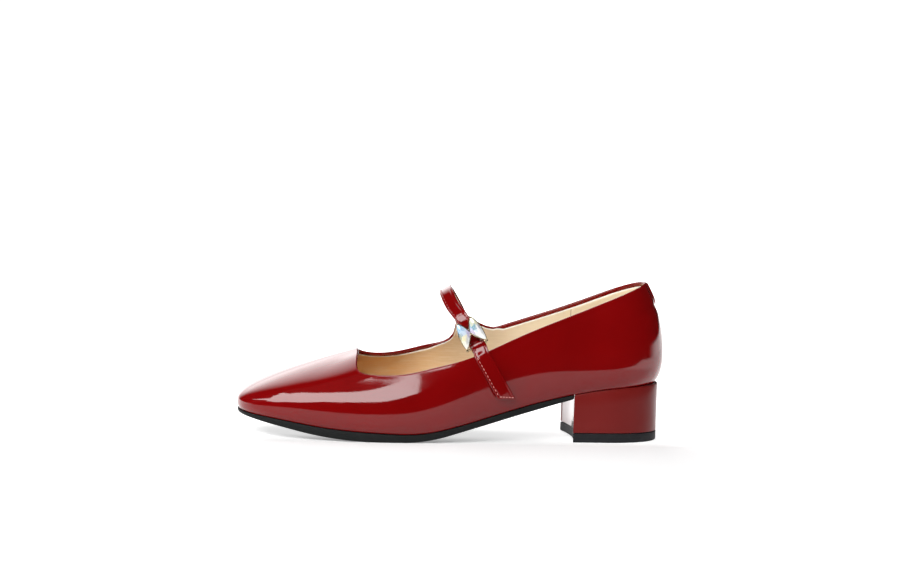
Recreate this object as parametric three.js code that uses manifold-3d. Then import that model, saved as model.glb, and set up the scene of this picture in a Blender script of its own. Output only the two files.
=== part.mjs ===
// A left mary jane shoe, EU 37, in red patent leather: a hollow pump upper with a soft square toe,
// a low block heel, a strap over the instep, and a bow of two cut crystals that joins the strap
// to the leather tail on the outer side.
//
// Frame: millimetres, X from the toe (-) to the heel (+), Y from the outer, lateral side (-) to the
// inner, medial side (+), Z up from the ground.

import * as THREE from 'three';
import { mergeVertices } from 'three/addons/utils/BufferGeometryUtils.js';
import Module from 'manifold-3d';

const wasm = await Module();
wasm.setup();

// ---------------------------------------------------------------------------------------------
// Driving sizes

const GAP = 0.3;               // air between two pieces that touch
const TOE = -124;              // front of the featherline, where upper and sole meet
const BACK = 121.8;            // back of the featherline
const LEATHER = 1.7;           // wall of the upper: patent leather, stiffener and lining
const MARGIN = 9;              // lasting margin turned in under the insole
const INSOLE = 2.4;            // insole thickness
const SOLE_LIP = 0.8;          // how far the sole stands out past the featherline
const BREAST = 70.4;           // front face of the heel
const BREAST_HOLLOW = 2.7;     // depth of the curve across that face
const TOP_PIECE = 5.4;         // rubber top piece under the heel

const TOE_CAP = { length: 26, power: 2.5 };     // soft square closing of the outline in front
const HEEL_CAP = { length: 31, power: 2.15 };   // rounder closing at the back

// The last in sections: centre line, half width and height of the featherline at each station.
const SECTIONS = [
  { x: -124, centre: 3.0, half: 25.0, seat: 13.9 },
  { x: -104, centre: 2.2, half: 28.4, seat: 11.4 },
  { x: -84, centre: 1.4, half: 34.0, seat: 8.5 },
  { x: -64, centre: 0.6, half: 37.4, seat: 6.4 },
  { x: -40, centre: -0.2, half: 38.6, seat: 5.1 },
  { x: -20, centre: -1.2, half: 37.0, seat: 5.3 },
  { x: 0, centre: -2.6, half: 33.2, seat: 9.2 },
  { x: 30, centre: -4.0, half: 26.8, seat: 18.0 },
  { x: 60, centre: -2.5, half: 24.6, seat: 26.0 },
  { x: 90, centre: -0.5, half: 25.6, seat: 31.7 },
  { x: 122, centre: 0.0, half: 25.0, seat: 34.1 },
];

// The wall round the footprint. `at` runs from the toe (0) down the lateral side to the back (0.5)
// and home along the medial side (1). `roll` is how far the wall leans out past the featherline,
// `rise` how high above it the widest point is, `crown` the height that the wall would close at,
// `ramp` the straight share of its way up, and `nose` how square it starts.
const WALL = [
  { at: 0.00, roll: 1.3, rise: 3.6, crown: 53.5, ramp: 0.60, nose: 0.75 },
  { at: 0.05, roll: 1.5, rise: 5.2, crown: 53.5, ramp: 0.55, nose: 0.80 },
  { at: 0.10, roll: 2.1, rise: 8.4, crown: 54.0, ramp: 0.33, nose: 0.95 },
  { at: 0.15, roll: 2.7, rise: 9.4, crown: 57.0, ramp: 0.14, nose: 1.0 },
  { at: 0.20, roll: 3.2, rise: 10.8, crown: 64.0, ramp: 0.03, nose: 1.0 },
  { at: 0.235, roll: 3.3, rise: 13.2, crown: 73.0, ramp: 0.00, nose: 1.0 },
  { at: 0.27, roll: 3.3, rise: 16.0, crown: 85.0, ramp: 0.00, nose: 1.0 },
  { at: 0.32, roll: 3.4, rise: 18.2, crown: 101.0, ramp: 0.00, nose: 1.0 },
  { at: 0.36, roll: 3.6, rise: 16.6, crown: 110.0, ramp: 0.00, nose: 1.0 },
  { at: 0.40, roll: 4.0, rise: 12.8, crown: 113.0, ramp: 0.00, nose: 1.0 },
  { at: 0.44, roll: 4.4, rise: 12.2, crown: 114.0, ramp: 0.00, nose: 1.0 },
  { at: 0.50, roll: 4.8, rise: 15.5, crown: 115.0, ramp: 0.00, nose: 1.0 },
  { at: 0.58, roll: 4.2, rise: 16.0, crown: 112.0, ramp: 0.00, nose: 1.0 },
  { at: 0.66, roll: 6.5, rise: 18.0, crown: 118.0, ramp: 0.00, nose: 1.0 },
  { at: 0.73, roll: 5.5, rise: 15.0, crown: 96.0, ramp: 0.00, nose: 1.0 },
  { at: 0.80, roll: 3.8, rise: 11.0, crown: 56.0, ramp: 0.03, nose: 1.0 },
  { at: 0.88, roll: 2.4, rise: 7.0, crown: 53.5, ramp: 0.25, nose: 1.0 },
  { at: 0.95, roll: 1.5, rise: 4.2, crown: 53.5, ramp: 0.55, nose: 0.80 },
  { at: 1.00, roll: 1.3, rise: 3.6, crown: 53.5, ramp: 0.60, nose: 0.75 },
];
const TURNS = 96;                                    // places round the footprint
const ROLL_SHARES = [1, 0.5, 0];                     // levels below the widest point
const WALL_SHARES = [0.12, 0.27, 0.43, 0.6, 0.77, 0.9, 1];   // levels from there to the topline
const START_ANGLE = THREE.MathUtils.degToRad(-62);   // how the wall leaves the featherline
const SPINE = { front: -40, back: 80, blend: 9 };    // line that the wall leans towards
const RIDGE = [
  { x: -60, y: 6.5 }, { x: -40, y: 6.0 }, { x: 0, y: 3.0 }, { x: 40, y: 1.0 }, { x: 90, y: 0.0 },
];

// The topline: height of the collar on either side, and where the throat crosses the vamp.
const COLLAR = [
  { x: -60, lateral: 37.0, medial: 45.2 },
  { x: -45, lateral: 37.9, medial: 44.6 },
  { x: -30, lateral: 39.4, medial: 45.5 },
  { x: -15, lateral: 43.1, medial: 48.9 },
  { x: 0, lateral: 47.1, medial: 52.3 },
  { x: 15, lateral: 52.4, medial: 56.8 },
  { x: 30, lateral: 59.2, medial: 61.8 },
  { x: 50, lateral: 67.8, medial: 68.6 },
  { x: 75, lateral: 77.9, medial: 77.3 },
  { x: 100, lateral: 88.0, medial: 87.3 },
  { x: 116, lateral: 93.8, medial: 93.8 },
];
const THROAT = { x: -56.8, bow: 2.2, centre: 3, half: 22, rounding: 8.0 };

// The ear that the medial side grows towards the strap: its height above the collar line.
const EAR = [
  { x: -4, height: 0 }, { x: -1, height: 0.3 }, { x: 2, height: 1.3 }, { x: 4.2, height: 3.6 },
  { x: 4.9, height: 6.5 }, { x: 5.3, height: 9.6 }, { x: 13.3, height: 11.6 }, { x: 16, height: 8.7 },
  { x: 20, height: 5.2 }, { x: 24, height: 2.3 }, { x: 28, height: 0.3 }, { x: 31, height: 0 },
];
const EAR_CUTS = [30, 27, 24, 22, 20, 18, 16, 14.6, 13.3, 11, 8, 5.4, 4.9, 4.2, 2, -1, -4];

// The sole's underside from the side: a flat tread, one arc up to the toe and one to the shank.
const TREAD = {
  front: -45, back: -31, toeRadius: 224, toeSlope: 0.21, shankRadius: 94, shankSlope: 0.292,
};

// Straps: a band that leans forward over the instep in one slanted plane, a little askew.
const STRAP = {
  width: 8, thickness: 1.6, x: 12.8, z: 54, lean: 0.57, skew: 0.055, y: -30, slack: 0.9, lead: 3,
};
const EAR_ANCHOR = { y: 24, heights: [51, 57.5, 64] };   // where it lies inside the medial ear
const ARCH = [                                  // its way over the instep, from the medial side
  { y: 21.6, z: 71.5, sway: 0 }, { y: 16.8, z: 79, sway: 0 }, { y: 8.6, z: 84.6, sway: -0.2 },
  { y: -0.8, z: 86.3, sway: -0.6 }, { y: -10.8, z: 84.4, sway: -1.2 }, { y: -20.0, z: 78, sway: -1.6 },
];
const TAIL = {                                  // the tail's loop, and its edges on the quarter
  width: 9, aside: 0.6, cuts: 9,
  toeEdge: { x: 10.1, z: 49.0, run: 12.8, drop: 21.8 },
  heelEdge: { x: 18.0, z: 53.4, run: 15.8, drop: 26.8 },
};

// The bow, in its own frame: a across the strap, b down it, and the level out from its face.
const BOW = {
  y: -29.7, z: 62.5, depth: 4.3, barRadius: 0.8, postRadius: 0.8, upperTuck: 5, lowerTuck: 2.5,
  top: { a: 4.4, b: -8.8 }, foot: { a: 6.2, b: 6.3 }, inset: 1, innerBulge: 5.0, outerBulge: 1.5,
  roundShare: 0.35, sides: 16, postTop: -0.9,
};
const BARS = [{ b: -6.6, post: 5.15 }, { b: 7.2, post: 6.4 }];   // upper and lower bar, post either side
const TRAY = [                                  // cup that holds one crystal
  { grow: 0.3, share: 1, level: -1.3 }, { grow: 0.65, share: 1, level: -0.8 },
  { grow: 0.65, share: 1, level: 1.3 },
];
const WELL = [{ grow: GAP, share: 1, level: 0 }, { grow: GAP, share: 1, level: 2.5 }];
const CRYSTAL_CUT = [                           // pavilion, girdle, crown and table of a crystal
  { grow: -0.2, share: 0.8, level: 0.3 }, { grow: 0, share: 1, level: 1.1 },
  { grow: 0, share: 0.92, level: 1.9 }, { grow: 0, share: 0.5, level: 3.1 },
];

const CENTRING = { x: -0.65, y: 0.065 };        // brings the middle of the whole shoe over the origin

const RED_PATENT = { color: 0x7d0a0c, roughness: 0.12, metalness: 0 };
const RED_WRAP = { color: 0x6e1712, roughness: 0.25, metalness: 0 };
const BLACK_RUBBER = { color: 0x24272a, roughness: 0.55, metalness: 0 };
const TAN_LINING = { color: 0xc9a67d, roughness: 0.6, metalness: 0 };
const PALE_GOLD = { color: 0xcbb890, roughness: 0.25, metalness: 1 };
const CRYSTAL = { color: 0xdfeaf2, roughness: 0.03, metalness: 0 };

// ---------------------------------------------------------------------------------------------
// Curves through the rows of a table

// Natural cubic spline through (xs, ys), held at its ends.
function spline(xs, ys) {
  const last = xs.length - 1;
  const width = xs.slice(1).map((x, i) => x - xs[i]);
  const slope = width.map((w, i) => (ys[i + 1] - ys[i]) / w);
  const bend = new Array(xs.length).fill(0);
  const carry = [0];
  const load = [0];
  for (let i = 1; i < last; i += 1) {
    const pivot = 2 * (width[i - 1] + width[i]) - width[i - 1] * carry[i - 1];
    carry[i] = width[i] / pivot;
    load[i] = (6 * (slope[i] - slope[i - 1]) - width[i - 1] * load[i - 1]) / pivot;
  }
  for (let i = last - 1; i > 0; i -= 1) bend[i] = load[i] - carry[i] * bend[i + 1];
  return (x) => {
    const place = Math.min(Math.max(x, xs[0]), xs[last]);
    let i = 0;
    while (i < last - 1 && place > xs[i + 1]) i += 1;
    const a = xs[i + 1] - place;
    const b = place - xs[i];
    const w = width[i];
    return (bend[i] * a ** 3 + bend[i + 1] * b ** 3) / (6 * w)
      + (ys[i] / w - (bend[i] * w) / 6) * a
      + (ys[i + 1] / w - (bend[i + 1] * w) / 6) * b;
  };
}

const along = (rows, from, to) => spline(rows.map((row) => row[from]), rows.map((row) => row[to]));

// The same for a table that runs once round the shoe, with the rows repeated past both ends.
function around(rows, column) {
  const before = rows.slice(-4, -1).map((row) => [row.at - 1, row[column]]);
  const after = rows.slice(1, 4).map((row) => [row.at + 1, row[column]]);
  const all = [...before, ...rows.map((row) => [row.at, row[column]]), ...after];
  return spline(all.map((pair) => pair[0]), all.map((pair) => pair[1]));
}

// Straight lines between the rows of a table.
function steps(rows, from, to) {
  return (x) => {
    if (x <= rows[0][from]) return rows[0][to];
    for (let i = 1; i < rows.length; i += 1) {
      const a = rows[i - 1];
      const b = rows[i];
      if (x <= b[from]) return a[to] + ((x - a[from]) / (b[from] - a[from])) * (b[to] - a[to]);
    }
    return rows[rows.length - 1][to];
  };
}

function smoothstep(low, high, value) {
  const t = Math.min(Math.max((value - low) / (high - low), 0), 1);
  return t * t * (3 - 2 * t);
}

// ---------------------------------------------------------------------------------------------
// The last

const centre = along(SECTIONS, 'x', 'centre');
const half = along(SECTIONS, 'x', 'half');
const seat = along(SECTIONS, 'x', 'seat');
const roll = around(WALL, 'roll');
const rise = around(WALL, 'rise');
const crown = around(WALL, 'crown');
const ramp = around(WALL, 'ramp');
const nose = around(WALL, 'nose');
const ridge = along(RIDGE, 'x', 'y');
const lateralCollar = along(COLLAR, 'x', 'lateral');
const medialCollar = along(COLLAR, 'x', 'medial');
const ear = steps(EAR, 'x', 'height');

// Share of the half width that is left at x, near the closed ends of the outline.
function closing(x) {
  const front = Math.max((TOE + TOE_CAP.length - x) / TOE_CAP.length, 0);
  const back = Math.max((x - BACK + HEEL_CAP.length) / HEEL_CAP.length, 0);
  const frontShare = Math.max(1 - front ** TOE_CAP.power, 0) ** (1 / TOE_CAP.power);
  const backShare = Math.max(1 - back ** HEEL_CAP.power, 0) ** (1 / HEEL_CAP.power);
  return frontShare * backShare;
}

// One side of the featherline from the toe to the back, with even steps along its length.
function featherSide(side) {
  const fine = 1600;
  const points = [];
  for (let i = 0; i <= fine; i += 1) {
    const x = TOE + ((BACK - TOE) * (1 - Math.cos((Math.PI * i) / fine))) / 2;
    points.push(new THREE.Vector2(x, centre(x) + side * half(x) * closing(x)));
  }
  const length = [0];
  for (let i = 1; i <= fine; i += 1) length.push(length[i - 1] + points[i].distanceTo(points[i - 1]));
  const even = [];
  const count = 400;
  let j = 1;
  for (let i = 0; i <= count; i += 1) {
    const target = (length[fine] * i) / count;
    while (j < fine && length[j] < target) j += 1;
    const t = (target - length[j - 1]) / (length[j] - length[j - 1]);
    even.push(points[j - 1].clone().lerp(points[j], t));
  }
  return even;
}

const LATERAL = featherSide(-1);
const MEDIAL = featherSide(1);

// The featherline at `at`, a turn from 0 to 1 round the footprint, and the way out of it in plan.
function feather(at) {
  const turn = at - Math.floor(at);
  const side = turn < 0.5 ? LATERAL : MEDIAL;
  const place = (turn < 0.5 ? turn * 2 : 2 - turn * 2) * (side.length - 1);
  const i = Math.min(Math.floor(place), side.length - 2);
  return side[i].clone().lerp(side[i + 1], place - i);
}
function outward(at) {
  const step = 0.004;
  const tangent = feather(at + step).sub(feather(at - step)).normalize();
  return new THREE.Vector2(tangent.y, -tangent.x);
}

// The spine point that the wall at x leans towards: x held smoothly between the spine's ends.
function spinePoint(x) {
  const b = SPINE.blend;
  const held = SPINE.front + b * Math.log1p(Math.exp((x - SPINE.front) / b));
  const spineX = SPINE.back - b * Math.log1p(Math.exp((SPINE.back - held) / b));
  return new THREE.Vector2(spineX, ridge(spineX));
}

// A point of the outer wall. Below the widest point (angle < 0) the wall rolls in to the
// featherline as part of an ellipse; above it the wall is an ellipse towards the spine, mixed
// with a straight ramp over the toe.
function wall(at, angle) {
  const foot = feather(at);
  const out = outward(at);
  const low = seat(foot.x);
  const c = Math.cos(angle);
  const s = Math.sin(angle);
  if (angle <= 0) {
    const reach = (c - Math.cos(START_ANGLE)) / (1 - Math.cos(START_ANGLE));
    const lift = 1 - s / Math.sin(START_ANGLE);
    const plan = foot.addScaledVector(out, roll(at) * reach);
    return new THREE.Vector3(plan.x, plan.y, low + rise(at) * lift);
  }
  const spine = spinePoint(foot.x);
  const plan = foot.addScaledVector(out, roll(at)).lerp(spine, 1 - c);
  const share = ramp(at);
  const height = crown(at) - low - rise(at);
  const lift = (1 - share) * s ** nose(at) + share * (1 - c);
  return new THREE.Vector3(plan.x, plan.y, low + rise(at) + height * lift);
}

function wallNormal(at, angle) {
  const step = 0.002;
  const turn = wall(at + step, angle).sub(wall(at - step, angle));
  const climb = wall(at, angle + step).sub(wall(at, angle - step));
  return turn.cross(climb).normalize();
}

// Positive inside the foot opening: behind the throat and above the collar, rounded between them.
function opening(point, at) {
  const lateral = lateralCollar(point.x);
  const medial = medialCollar(point.x);
  let height = at > 0.5 ? medial + ear(point.x) : lateral;
  if (point.x < -30) height = lateral + (medial - lateral) * smoothstep(-14, 20, point.y);
  const side = (point.y - THROAT.centre) / THROAT.half;
  const behind = point.x - THROAT.x + THROAT.bow * side * side;
  const above = point.z - height;
  return (behind + above - Math.hypot(behind - above, THROAT.rounding)) / 2;
}

// The angle at which the wall reaches the topline.
function toplineAngle(at) {
  const step = Math.PI / 2 / 240;
  let high = step;
  while (high < Math.PI / 2 && opening(wall(at, high), at) < 0) high += step;
  let low = high - step;
  for (let i = 0; i < 24; i += 1) {
    const middle = (low + high) / 2;
    if (opening(wall(at, middle), at) < 0) low = middle;
    else high = middle;
  }
  return low;
}

// The place round the footprint, on one side, where the featherline reaches x.
function atX(x, side) {
  let low = 0;
  let high = 0.5;
  for (let i = 0; i < 30; i += 1) {
    const middle = (low + high) / 2;
    const turn = side < 0 ? middle : 1 - middle;
    if (feather(turn).x < x) low = middle;
    else high = middle;
  }
  return side < 0 ? low : 1 - low;
}

// The wall's place and normal at a given x and height on one side, between the throat and heel.
function quarter(x, z, side) {
  let at = atX(x, side);
  let angle = 0;
  for (let pass = 0; pass < 3; pass += 1) {
    let low = START_ANGLE;
    let high = 1.2;
    for (let i = 0; i < 30; i += 1) {
      angle = (low + high) / 2;
      if (wall(at, angle).z < z) low = angle;
      else high = angle;
    }
    at = atX(feather(at).x + x - wall(at, angle).x, side);
  }
  return { point: wall(at, angle), normal: wallNormal(at, angle) };
}

// The strap's place in x at a given y and height.
function strapX(y, z) {
  return STRAP.x - STRAP.lean * (z - STRAP.z) + STRAP.skew * (y - STRAP.y);
}

// The bow's frame: across the strap, down along it, and out of its face.
const ACROSS = new THREE.Vector3(1, 0, STRAP.lean).normalize();
const DOWN = new THREE.Vector3(STRAP.lean, -0.237, -1).normalize();
const FACE = DOWN.clone().cross(ACROSS).normalize();
const BOW_CENTRE = new THREE.Vector3(strapX(BOW.y, BOW.z), BOW.y, BOW.z)
  .addScaledVector(FACE, BOW.depth);

function bowPoint(a, b, level) {
  return BOW_CENTRE.clone()
    .addScaledVector(ACROSS, a)
    .addScaledVector(DOWN, b)
    .addScaledVector(FACE, level);
}

// ---------------------------------------------------------------------------------------------
// Solids

function geometryOf(points, triangles) {
  const geometry = new THREE.BufferGeometry();
  const flat = points.flatMap((p) => [p.x, p.y, p.z]);
  geometry.setAttribute('position', new THREE.Float32BufferAttribute(flat, 3));
  geometry.setIndex(triangles);
  geometry.computeVertexNormals();
  return geometry;
}

// A closed skin over rings of equal length. Each ring is closed on itself; the last ring joins
// the first (`loop`), or both end rings are closed by a fan.
function skin(rings, loop) {
  const n = rings[0].length;
  const points = rings.flat();
  const triangles = [];
  const count = loop ? rings.length : rings.length - 1;
  for (let k = 0; k < count; k += 1) {
    const a = k * n;
    const b = ((k + 1) % rings.length) * n;
    for (let j = 0; j < n; j += 1) {
      const next = (j + 1) % n;
      triangles.push(a + j, a + next, b + next, a + j, b + next, b + j);
    }
  }
  if (!loop) {
    const end = (rings.length - 1) * n;
    for (let j = 1; j < n - 1; j += 1) {
      triangles.push(0, j + 1, j);
      triangles.push(end, end + j, end + j + 1);
    }
  }
  return geometryOf(points, triangles);
}

function toManifold(geometry) {
  const bare = geometry.clone();
  bare.deleteAttribute('normal');
  bare.deleteAttribute('uv');
  const merged = mergeVertices(bare, 1e-4);
  const mesh = new wasm.Mesh({
    numProp: 3,
    vertProperties: new Float32Array(merged.attributes.position.array),
    triVerts: new Uint32Array(merged.index.array),
  });
  return new wasm.Manifold(mesh);
}

function fromManifold(solid) {
  const mesh = solid.getMesh();
  const geometry = new THREE.BufferGeometry();
  geometry.setAttribute('position', new THREE.BufferAttribute(new Float32Array(mesh.vertProperties), 3));
  geometry.setIndex(new THREE.BufferAttribute(new Uint32Array(mesh.triVerts), 1));
  geometry.computeVertexNormals();
  return geometry;
}

// An outline in plan, raised from one height to another.
function prism(outline, from, to) {
  const geometry = new THREE.ExtrudeGeometry(new THREE.Shape(outline), {
    depth: to - from, bevelEnabled: false,
  });
  return geometry.translate(0, 0, from);
}

// A profile drawn in X and Z, carried right across the shoe.
function slab(profile) {
  const width = 120;
  const geometry = new THREE.ExtrudeGeometry(new THREE.Shape(profile), {
    depth: width, bevelEnabled: false,
  });
  return geometry.rotateX(Math.PI / 2).translate(0, width / 2, 0);
}

const intersection = (a, b) => fromManifold(toManifold(a).intersect(toManifold(b)));

const range = (count, f) => Array.from({ length: count }, (_, i) => f(i));

// Even steps in x from one place to another, both ends kept.
const stations = (from, to, count) => range(count + 1, (i) => from + ((to - from) * i) / count);

// ---------------------------------------------------------------------------------------------
// Upper

// Places round the footprint: even steps, with finer ones where the ear rises.
function upperStations() {
  const fine = EAR_CUTS.map((x) => atX(x, 1));
  const apart = 0.004;
  const before = fine[0] - apart;
  const after = fine[fine.length - 1] + apart;
  const even = range(TURNS, (i) => i / TURNS).filter((at) => at < before || at > after);
  return [...even, ...fine].sort((a, b) => a - b);
}

function upper() {
  const places = upperStations();
  const tops = places.map(toplineAngle);
  const levels = [
    ...ROLL_SHARES.map((share) => () => share * START_ANGLE),
    ...WALL_SHARES.map((share) => (top) => share * top),
  ];
  const outer = levels.map((level) => places.map((at, i) => wall(at, level(tops[i]))));
  const inner = levels.map((level) => places.map((at, i) => {
    const angle = level(tops[i]);
    return wall(at, angle).addScaledVector(wallNormal(at, angle), -LEATHER);
  }));
  const turnedIn = (lift) => places.map((at) => {
    const foot = feather(at);
    const way = spinePoint(foot.x).sub(foot).normalize();
    const edge = foot.addScaledVector(way, MARGIN);
    return new THREE.Vector3(edge.x, edge.y, seat(edge.x) + lift);
  });
  return skin([turnedIn(0), ...outer, ...inner.reverse(), turnedIn(LEATHER)], true);
}

// ---------------------------------------------------------------------------------------------
// Sole, insole and heel

// The outline of a stretch of the footprint in plan, moved out by `offset(x)`: down the lateral
// side from `from` to `to` and back along the medial side.
function footprint(offset, from, to, count) {
  const start = from <= TOE ? 0 : atX(from, -1);
  const end = to >= BACK ? 0.5 : atX(to, -1);
  const startBack = from <= TOE ? 1 : atX(from, 1);
  const endBack = to >= BACK ? 0.5 : atX(to, 1);
  const place = (at) => {
    const foot = feather(at);
    return foot.clone().addScaledVector(outward(at), offset(foot.x));
  };
  const lateral = stations(start, end, count).map(place);
  const medial = stations(endBack, startBack, count).map(place);
  if (to >= BACK) medial.shift();
  if (from <= TOE) medial.pop();
  return [...lateral, ...medial];
}

// How high a line climbs that leaves the ground by an arc and then runs straight.
function climb(distance, radius, slope) {
  const arc = radius * slope;
  if (distance <= 0) return 0;
  return distance < arc ? distance ** 2 / (2 * radius) : slope * (distance - arc / 2);
}

// Height of the sole's underside.
function tread(x) {
  return climb(TREAD.front - x, TREAD.toeRadius, TREAD.toeSlope)
    + climb(x - TREAD.back, TREAD.shankRadius, TREAD.shankSlope);
}

// A slab whose lower and upper faces follow two curves of x.
function curvedSlab(from, to, low, high) {
  const flats = [TREAD.front, TREAD.back].filter((x) => x > from && x < to);
  const cuts = [...stations(from, to, 38), ...flats].sort((a, b) => a - b);
  const under = cuts.map((x) => new THREE.Vector2(x, low(x)));
  const over = cuts.map((x) => new THREE.Vector2(x, high(x))).reverse();
  return slab([...under, ...over]);
}

// Points across the shoe from `a` to `b`, bowed back by the breast's hollow, ends left out.
function breastCurve(a, b) {
  const cuts = 8;
  return range(cuts - 1, (i) => {
    const t = (i + 1) / cuts;
    const hollow = BREAST_HOLLOW * (1 - (2 * t - 1) ** 2);
    return a.clone().lerp(b, t).add(new THREE.Vector2(hollow, 0));
  });
}

function outsole() {
  const end = BREAST - GAP;
  const count = 48;
  const outline = footprint(() => SOLE_LIP, TOE, end, count);
  const bow = breastCurve(outline[count], outline[count + 1]);
  outline.splice(count + 1, 0, ...bow);
  const body = curvedSlab(TOE - 2, end + BREAST_HOLLOW, tread, (x) => seat(x) - GAP);
  return intersection(prism(outline, -5, 60), body);
}

function insole() {
  const clear = LEATHER + GAP;
  const outline = footprint(() => -clear, TOE, BACK, 56);
  const body = curvedSlab(TOE - 10, BACK + 10, (x) => seat(x) + clear, (x) => seat(x) + clear + INSOLE);
  return intersection(prism(outline, 0, 80), body);
}

// The heel's plan: the seat's outline behind the breast, fuller at the back, with a hollow front.
function heelOutline() {
  const fuller = (x) => 0.4 + 1.6 * smoothstep(100, 120, x);
  const outline = footprint(fuller, BREAST, BACK, 22);
  return [...outline, ...breastCurve(outline[outline.length - 1], outline[0])];
}

function heelBlock() {
  const under = curvedSlab(BREAST - 20, BACK + 20, () => TOP_PIECE + GAP, (x) => seat(x) - GAP);
  return intersection(prism(heelOutline(), 0, 60), under);
}

// ---------------------------------------------------------------------------------------------
// Straps
//
// A strap is a row of cross sections: a middle point, the way out of its face and half a width.
// Its ring runs up the heel-side edge, over the face and down the toe-side edge.

function bandRing(row, thickness) {
  const lift = row.normal.clone().multiplyScalar(thickness / 2);
  const heelSide = row.middle.clone().add(row.across);
  const toeSide = row.middle.clone().sub(row.across);
  return [
    heelSide.clone().sub(lift), heelSide.clone().add(lift), row.middle.clone().add(lift),
    toeSide.clone().add(lift), toeSide.clone().sub(lift), row.middle.clone().sub(lift),
  ];
}

// A smooth line through points, sampled evenly by length between the given points.
function smoothPath(points, count) {
  const reach = [0];
  for (let i = 1; i < points.length; i += 1) reach.push(reach[i - 1] + points[i].distanceTo(points[i - 1]));
  const [fx, fy, fz] = ['x', 'y', 'z'].map((key) => spline(reach, points.map((p) => p[key])));
  return range(count + 1, (i) => {
    const s = (reach[reach.length - 1] * i) / count;
    return new THREE.Vector3(fx(s), fy(s), fz(s));
  });
}

// Rows round a bar: from one angle to another about its axis, where 0 is the outer face of the
// bow and a quarter turn is down the strap.
function wrapRows(bar, from, to, aside, width) {
  const radius = BOW.barRadius + GAP + STRAP.thickness / 2;
  const turns = 8;
  return range(turns + 1, (i) => {
    const angle = from + ((to - from) * i) / turns;
    const normal = FACE.clone().multiplyScalar(Math.cos(angle)).addScaledVector(DOWN, Math.sin(angle));
    return {
      middle: bowPoint(aside, bar.b, -BOW.depth).addScaledVector(normal, radius),
      normal,
      across: ACROSS.clone().multiplyScalar(width / 2),
    };
  });
}

// The strap that rises from the medial ear, crosses the instep and folds round the upper bar.
function instepStrap() {
  const { width, thickness } = STRAP;
  const inset = LEATHER + STRAP.slack + thickness / 2;
  const anchor = EAR_ANCHOR.heights.map((z) => {
    const wallAt = quarter(strapX(EAR_ANCHOR.y, z), z, 1);
    return wallAt.point.addScaledVector(wallAt.normal, -inset);
  });
  const arch = ARCH.map(({ y, z, sway }) => new THREE.Vector3(strapX(y, z) + sway, y, z));
  const wrap = wrapRows(BARS[0], 0, Math.PI, 0, width);
  const lead = wrap[0].middle.clone().addScaledVector(DOWN, -STRAP.lead);
  const line = smoothPath([...anchor, ...arch, lead, wrap[0].middle], 30);
  const rows = line.slice(0, -1).map((middle, i) => {
    const ahead = line[i + 1].clone().sub(line[Math.max(i - 1, 0)]).normalize();
    const normal = ahead.clone().cross(ACROSS).normalize();
    return { middle, normal, across: ACROSS.clone().multiplyScalar(width / 2) };
  });
  const back = wrap[wrap.length - 1];
  const tuck = { ...back, middle: back.middle.clone().addScaledVector(DOWN, -BOW.upperTuck) };
  return skin([...rows, ...wrap, tuck].map((row) => bandRing(row, thickness)), false);
}

// The tail: folded round the lower bar, then flat down the outside of the lateral quarter.
function buckleStrap() {
  const { thickness } = STRAP;
  const wrap = wrapRows(BARS[1], -Math.PI, 0, TAIL.aside, TAIL.width);
  const tuck = { ...wrap[0], middle: wrap[0].middle.clone().addScaledVector(DOWN, BOW.lowerTuck) };
  const loop = [tuck, ...wrap].map((row) => bandRing(row, thickness));
  const tail = range(TAIL.cuts + 1, (i) => {
    const t = i / TAIL.cuts;
    const toeX = TAIL.toeEdge.x + TAIL.toeEdge.run * t;
    const toeZ = TAIL.toeEdge.z - TAIL.toeEdge.drop * t;
    const heelX = TAIL.heelEdge.x + TAIL.heelEdge.run * t;
    const heelZ = TAIL.heelEdge.z - TAIL.heelEdge.drop * t;
    const cut = [1, 0.5, 0].map((share) => {
      return quarter(toeX + (heelX - toeX) * share, toeZ + (heelZ - toeZ) * share, -1);
    });
    const low = cut.map((place) => place.point.clone().addScaledVector(place.normal, GAP));
    const high = cut.map((place) => place.point.clone().addScaledVector(place.normal, GAP + thickness));
    return [low[0], high[0], high[1], high[2], low[2], low[1]];
  });
  return skin([...loop, ...tail], false);
}

// ---------------------------------------------------------------------------------------------
// Crystal bow

// Outline of one crystal: nearly straight outside, and inside a rounded corner that points at the
// other crystal. Scaled by `share` and grown by `grow`; side is 1 towards the heel, -1 to the toe.
function crystalOutline(side, grow, share) {
  const middle = { a: (BOW.top.a + BOW.foot.a) / 2 - BOW.inset, b: (BOW.top.b + BOW.foot.b) / 2 };
  return range(BOW.sides, (i) => {
    const turn = (2 * Math.PI * i) / BOW.sides;
    const t = (1 - Math.cos(turn)) / 2;
    const round = Math.sin(turn);
    const corner = 1 - Math.abs(2 * t - 1);
    const inner = BOW.innerBulge * (BOW.roundShare * round + (1 - BOW.roundShare) * corner);
    const bulge = round >= 0 ? inner : BOW.outerBulge * round;
    const a = BOW.top.a + (BOW.foot.a - BOW.top.a) * t - bulge;
    const b = BOW.top.b + (BOW.foot.b - BOW.top.b) * t;
    const away = new THREE.Vector2(a - middle.a, b - middle.b);
    const grown = away.clone().multiplyScalar(share + grow / away.length());
    return new THREE.Vector2(side * (middle.a + grown.x), middle.b + grown.y);
  });
}

// A stack of outlines in the bow's own frame, closed into one solid.
function bowStack(layers, side) {
  const rings = layers.map(({ grow, share, level }) => {
    const ring = crystalOutline(side, grow, share).map((p) => bowPoint(p.x, p.y, level));
    return side > 0 ? ring : ring.reverse();
  });
  return skin(rings, false);
}

// A straight round rod between two points of the bow's frame.
function rod(start, end, radius) {
  const sides = 8;
  const way = end.clone().sub(start);
  const bar = new THREE.CylinderGeometry(radius, radius, way.length(), sides);
  const turn = new THREE.Quaternion().setFromUnitVectors(new THREE.Vector3(0, 1, 0), way.normalize());
  const middle = start.clone().lerp(end, 0.5);
  return toManifold(bar.applyQuaternion(turn).translate(middle.x, middle.y, middle.z));
}

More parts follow.
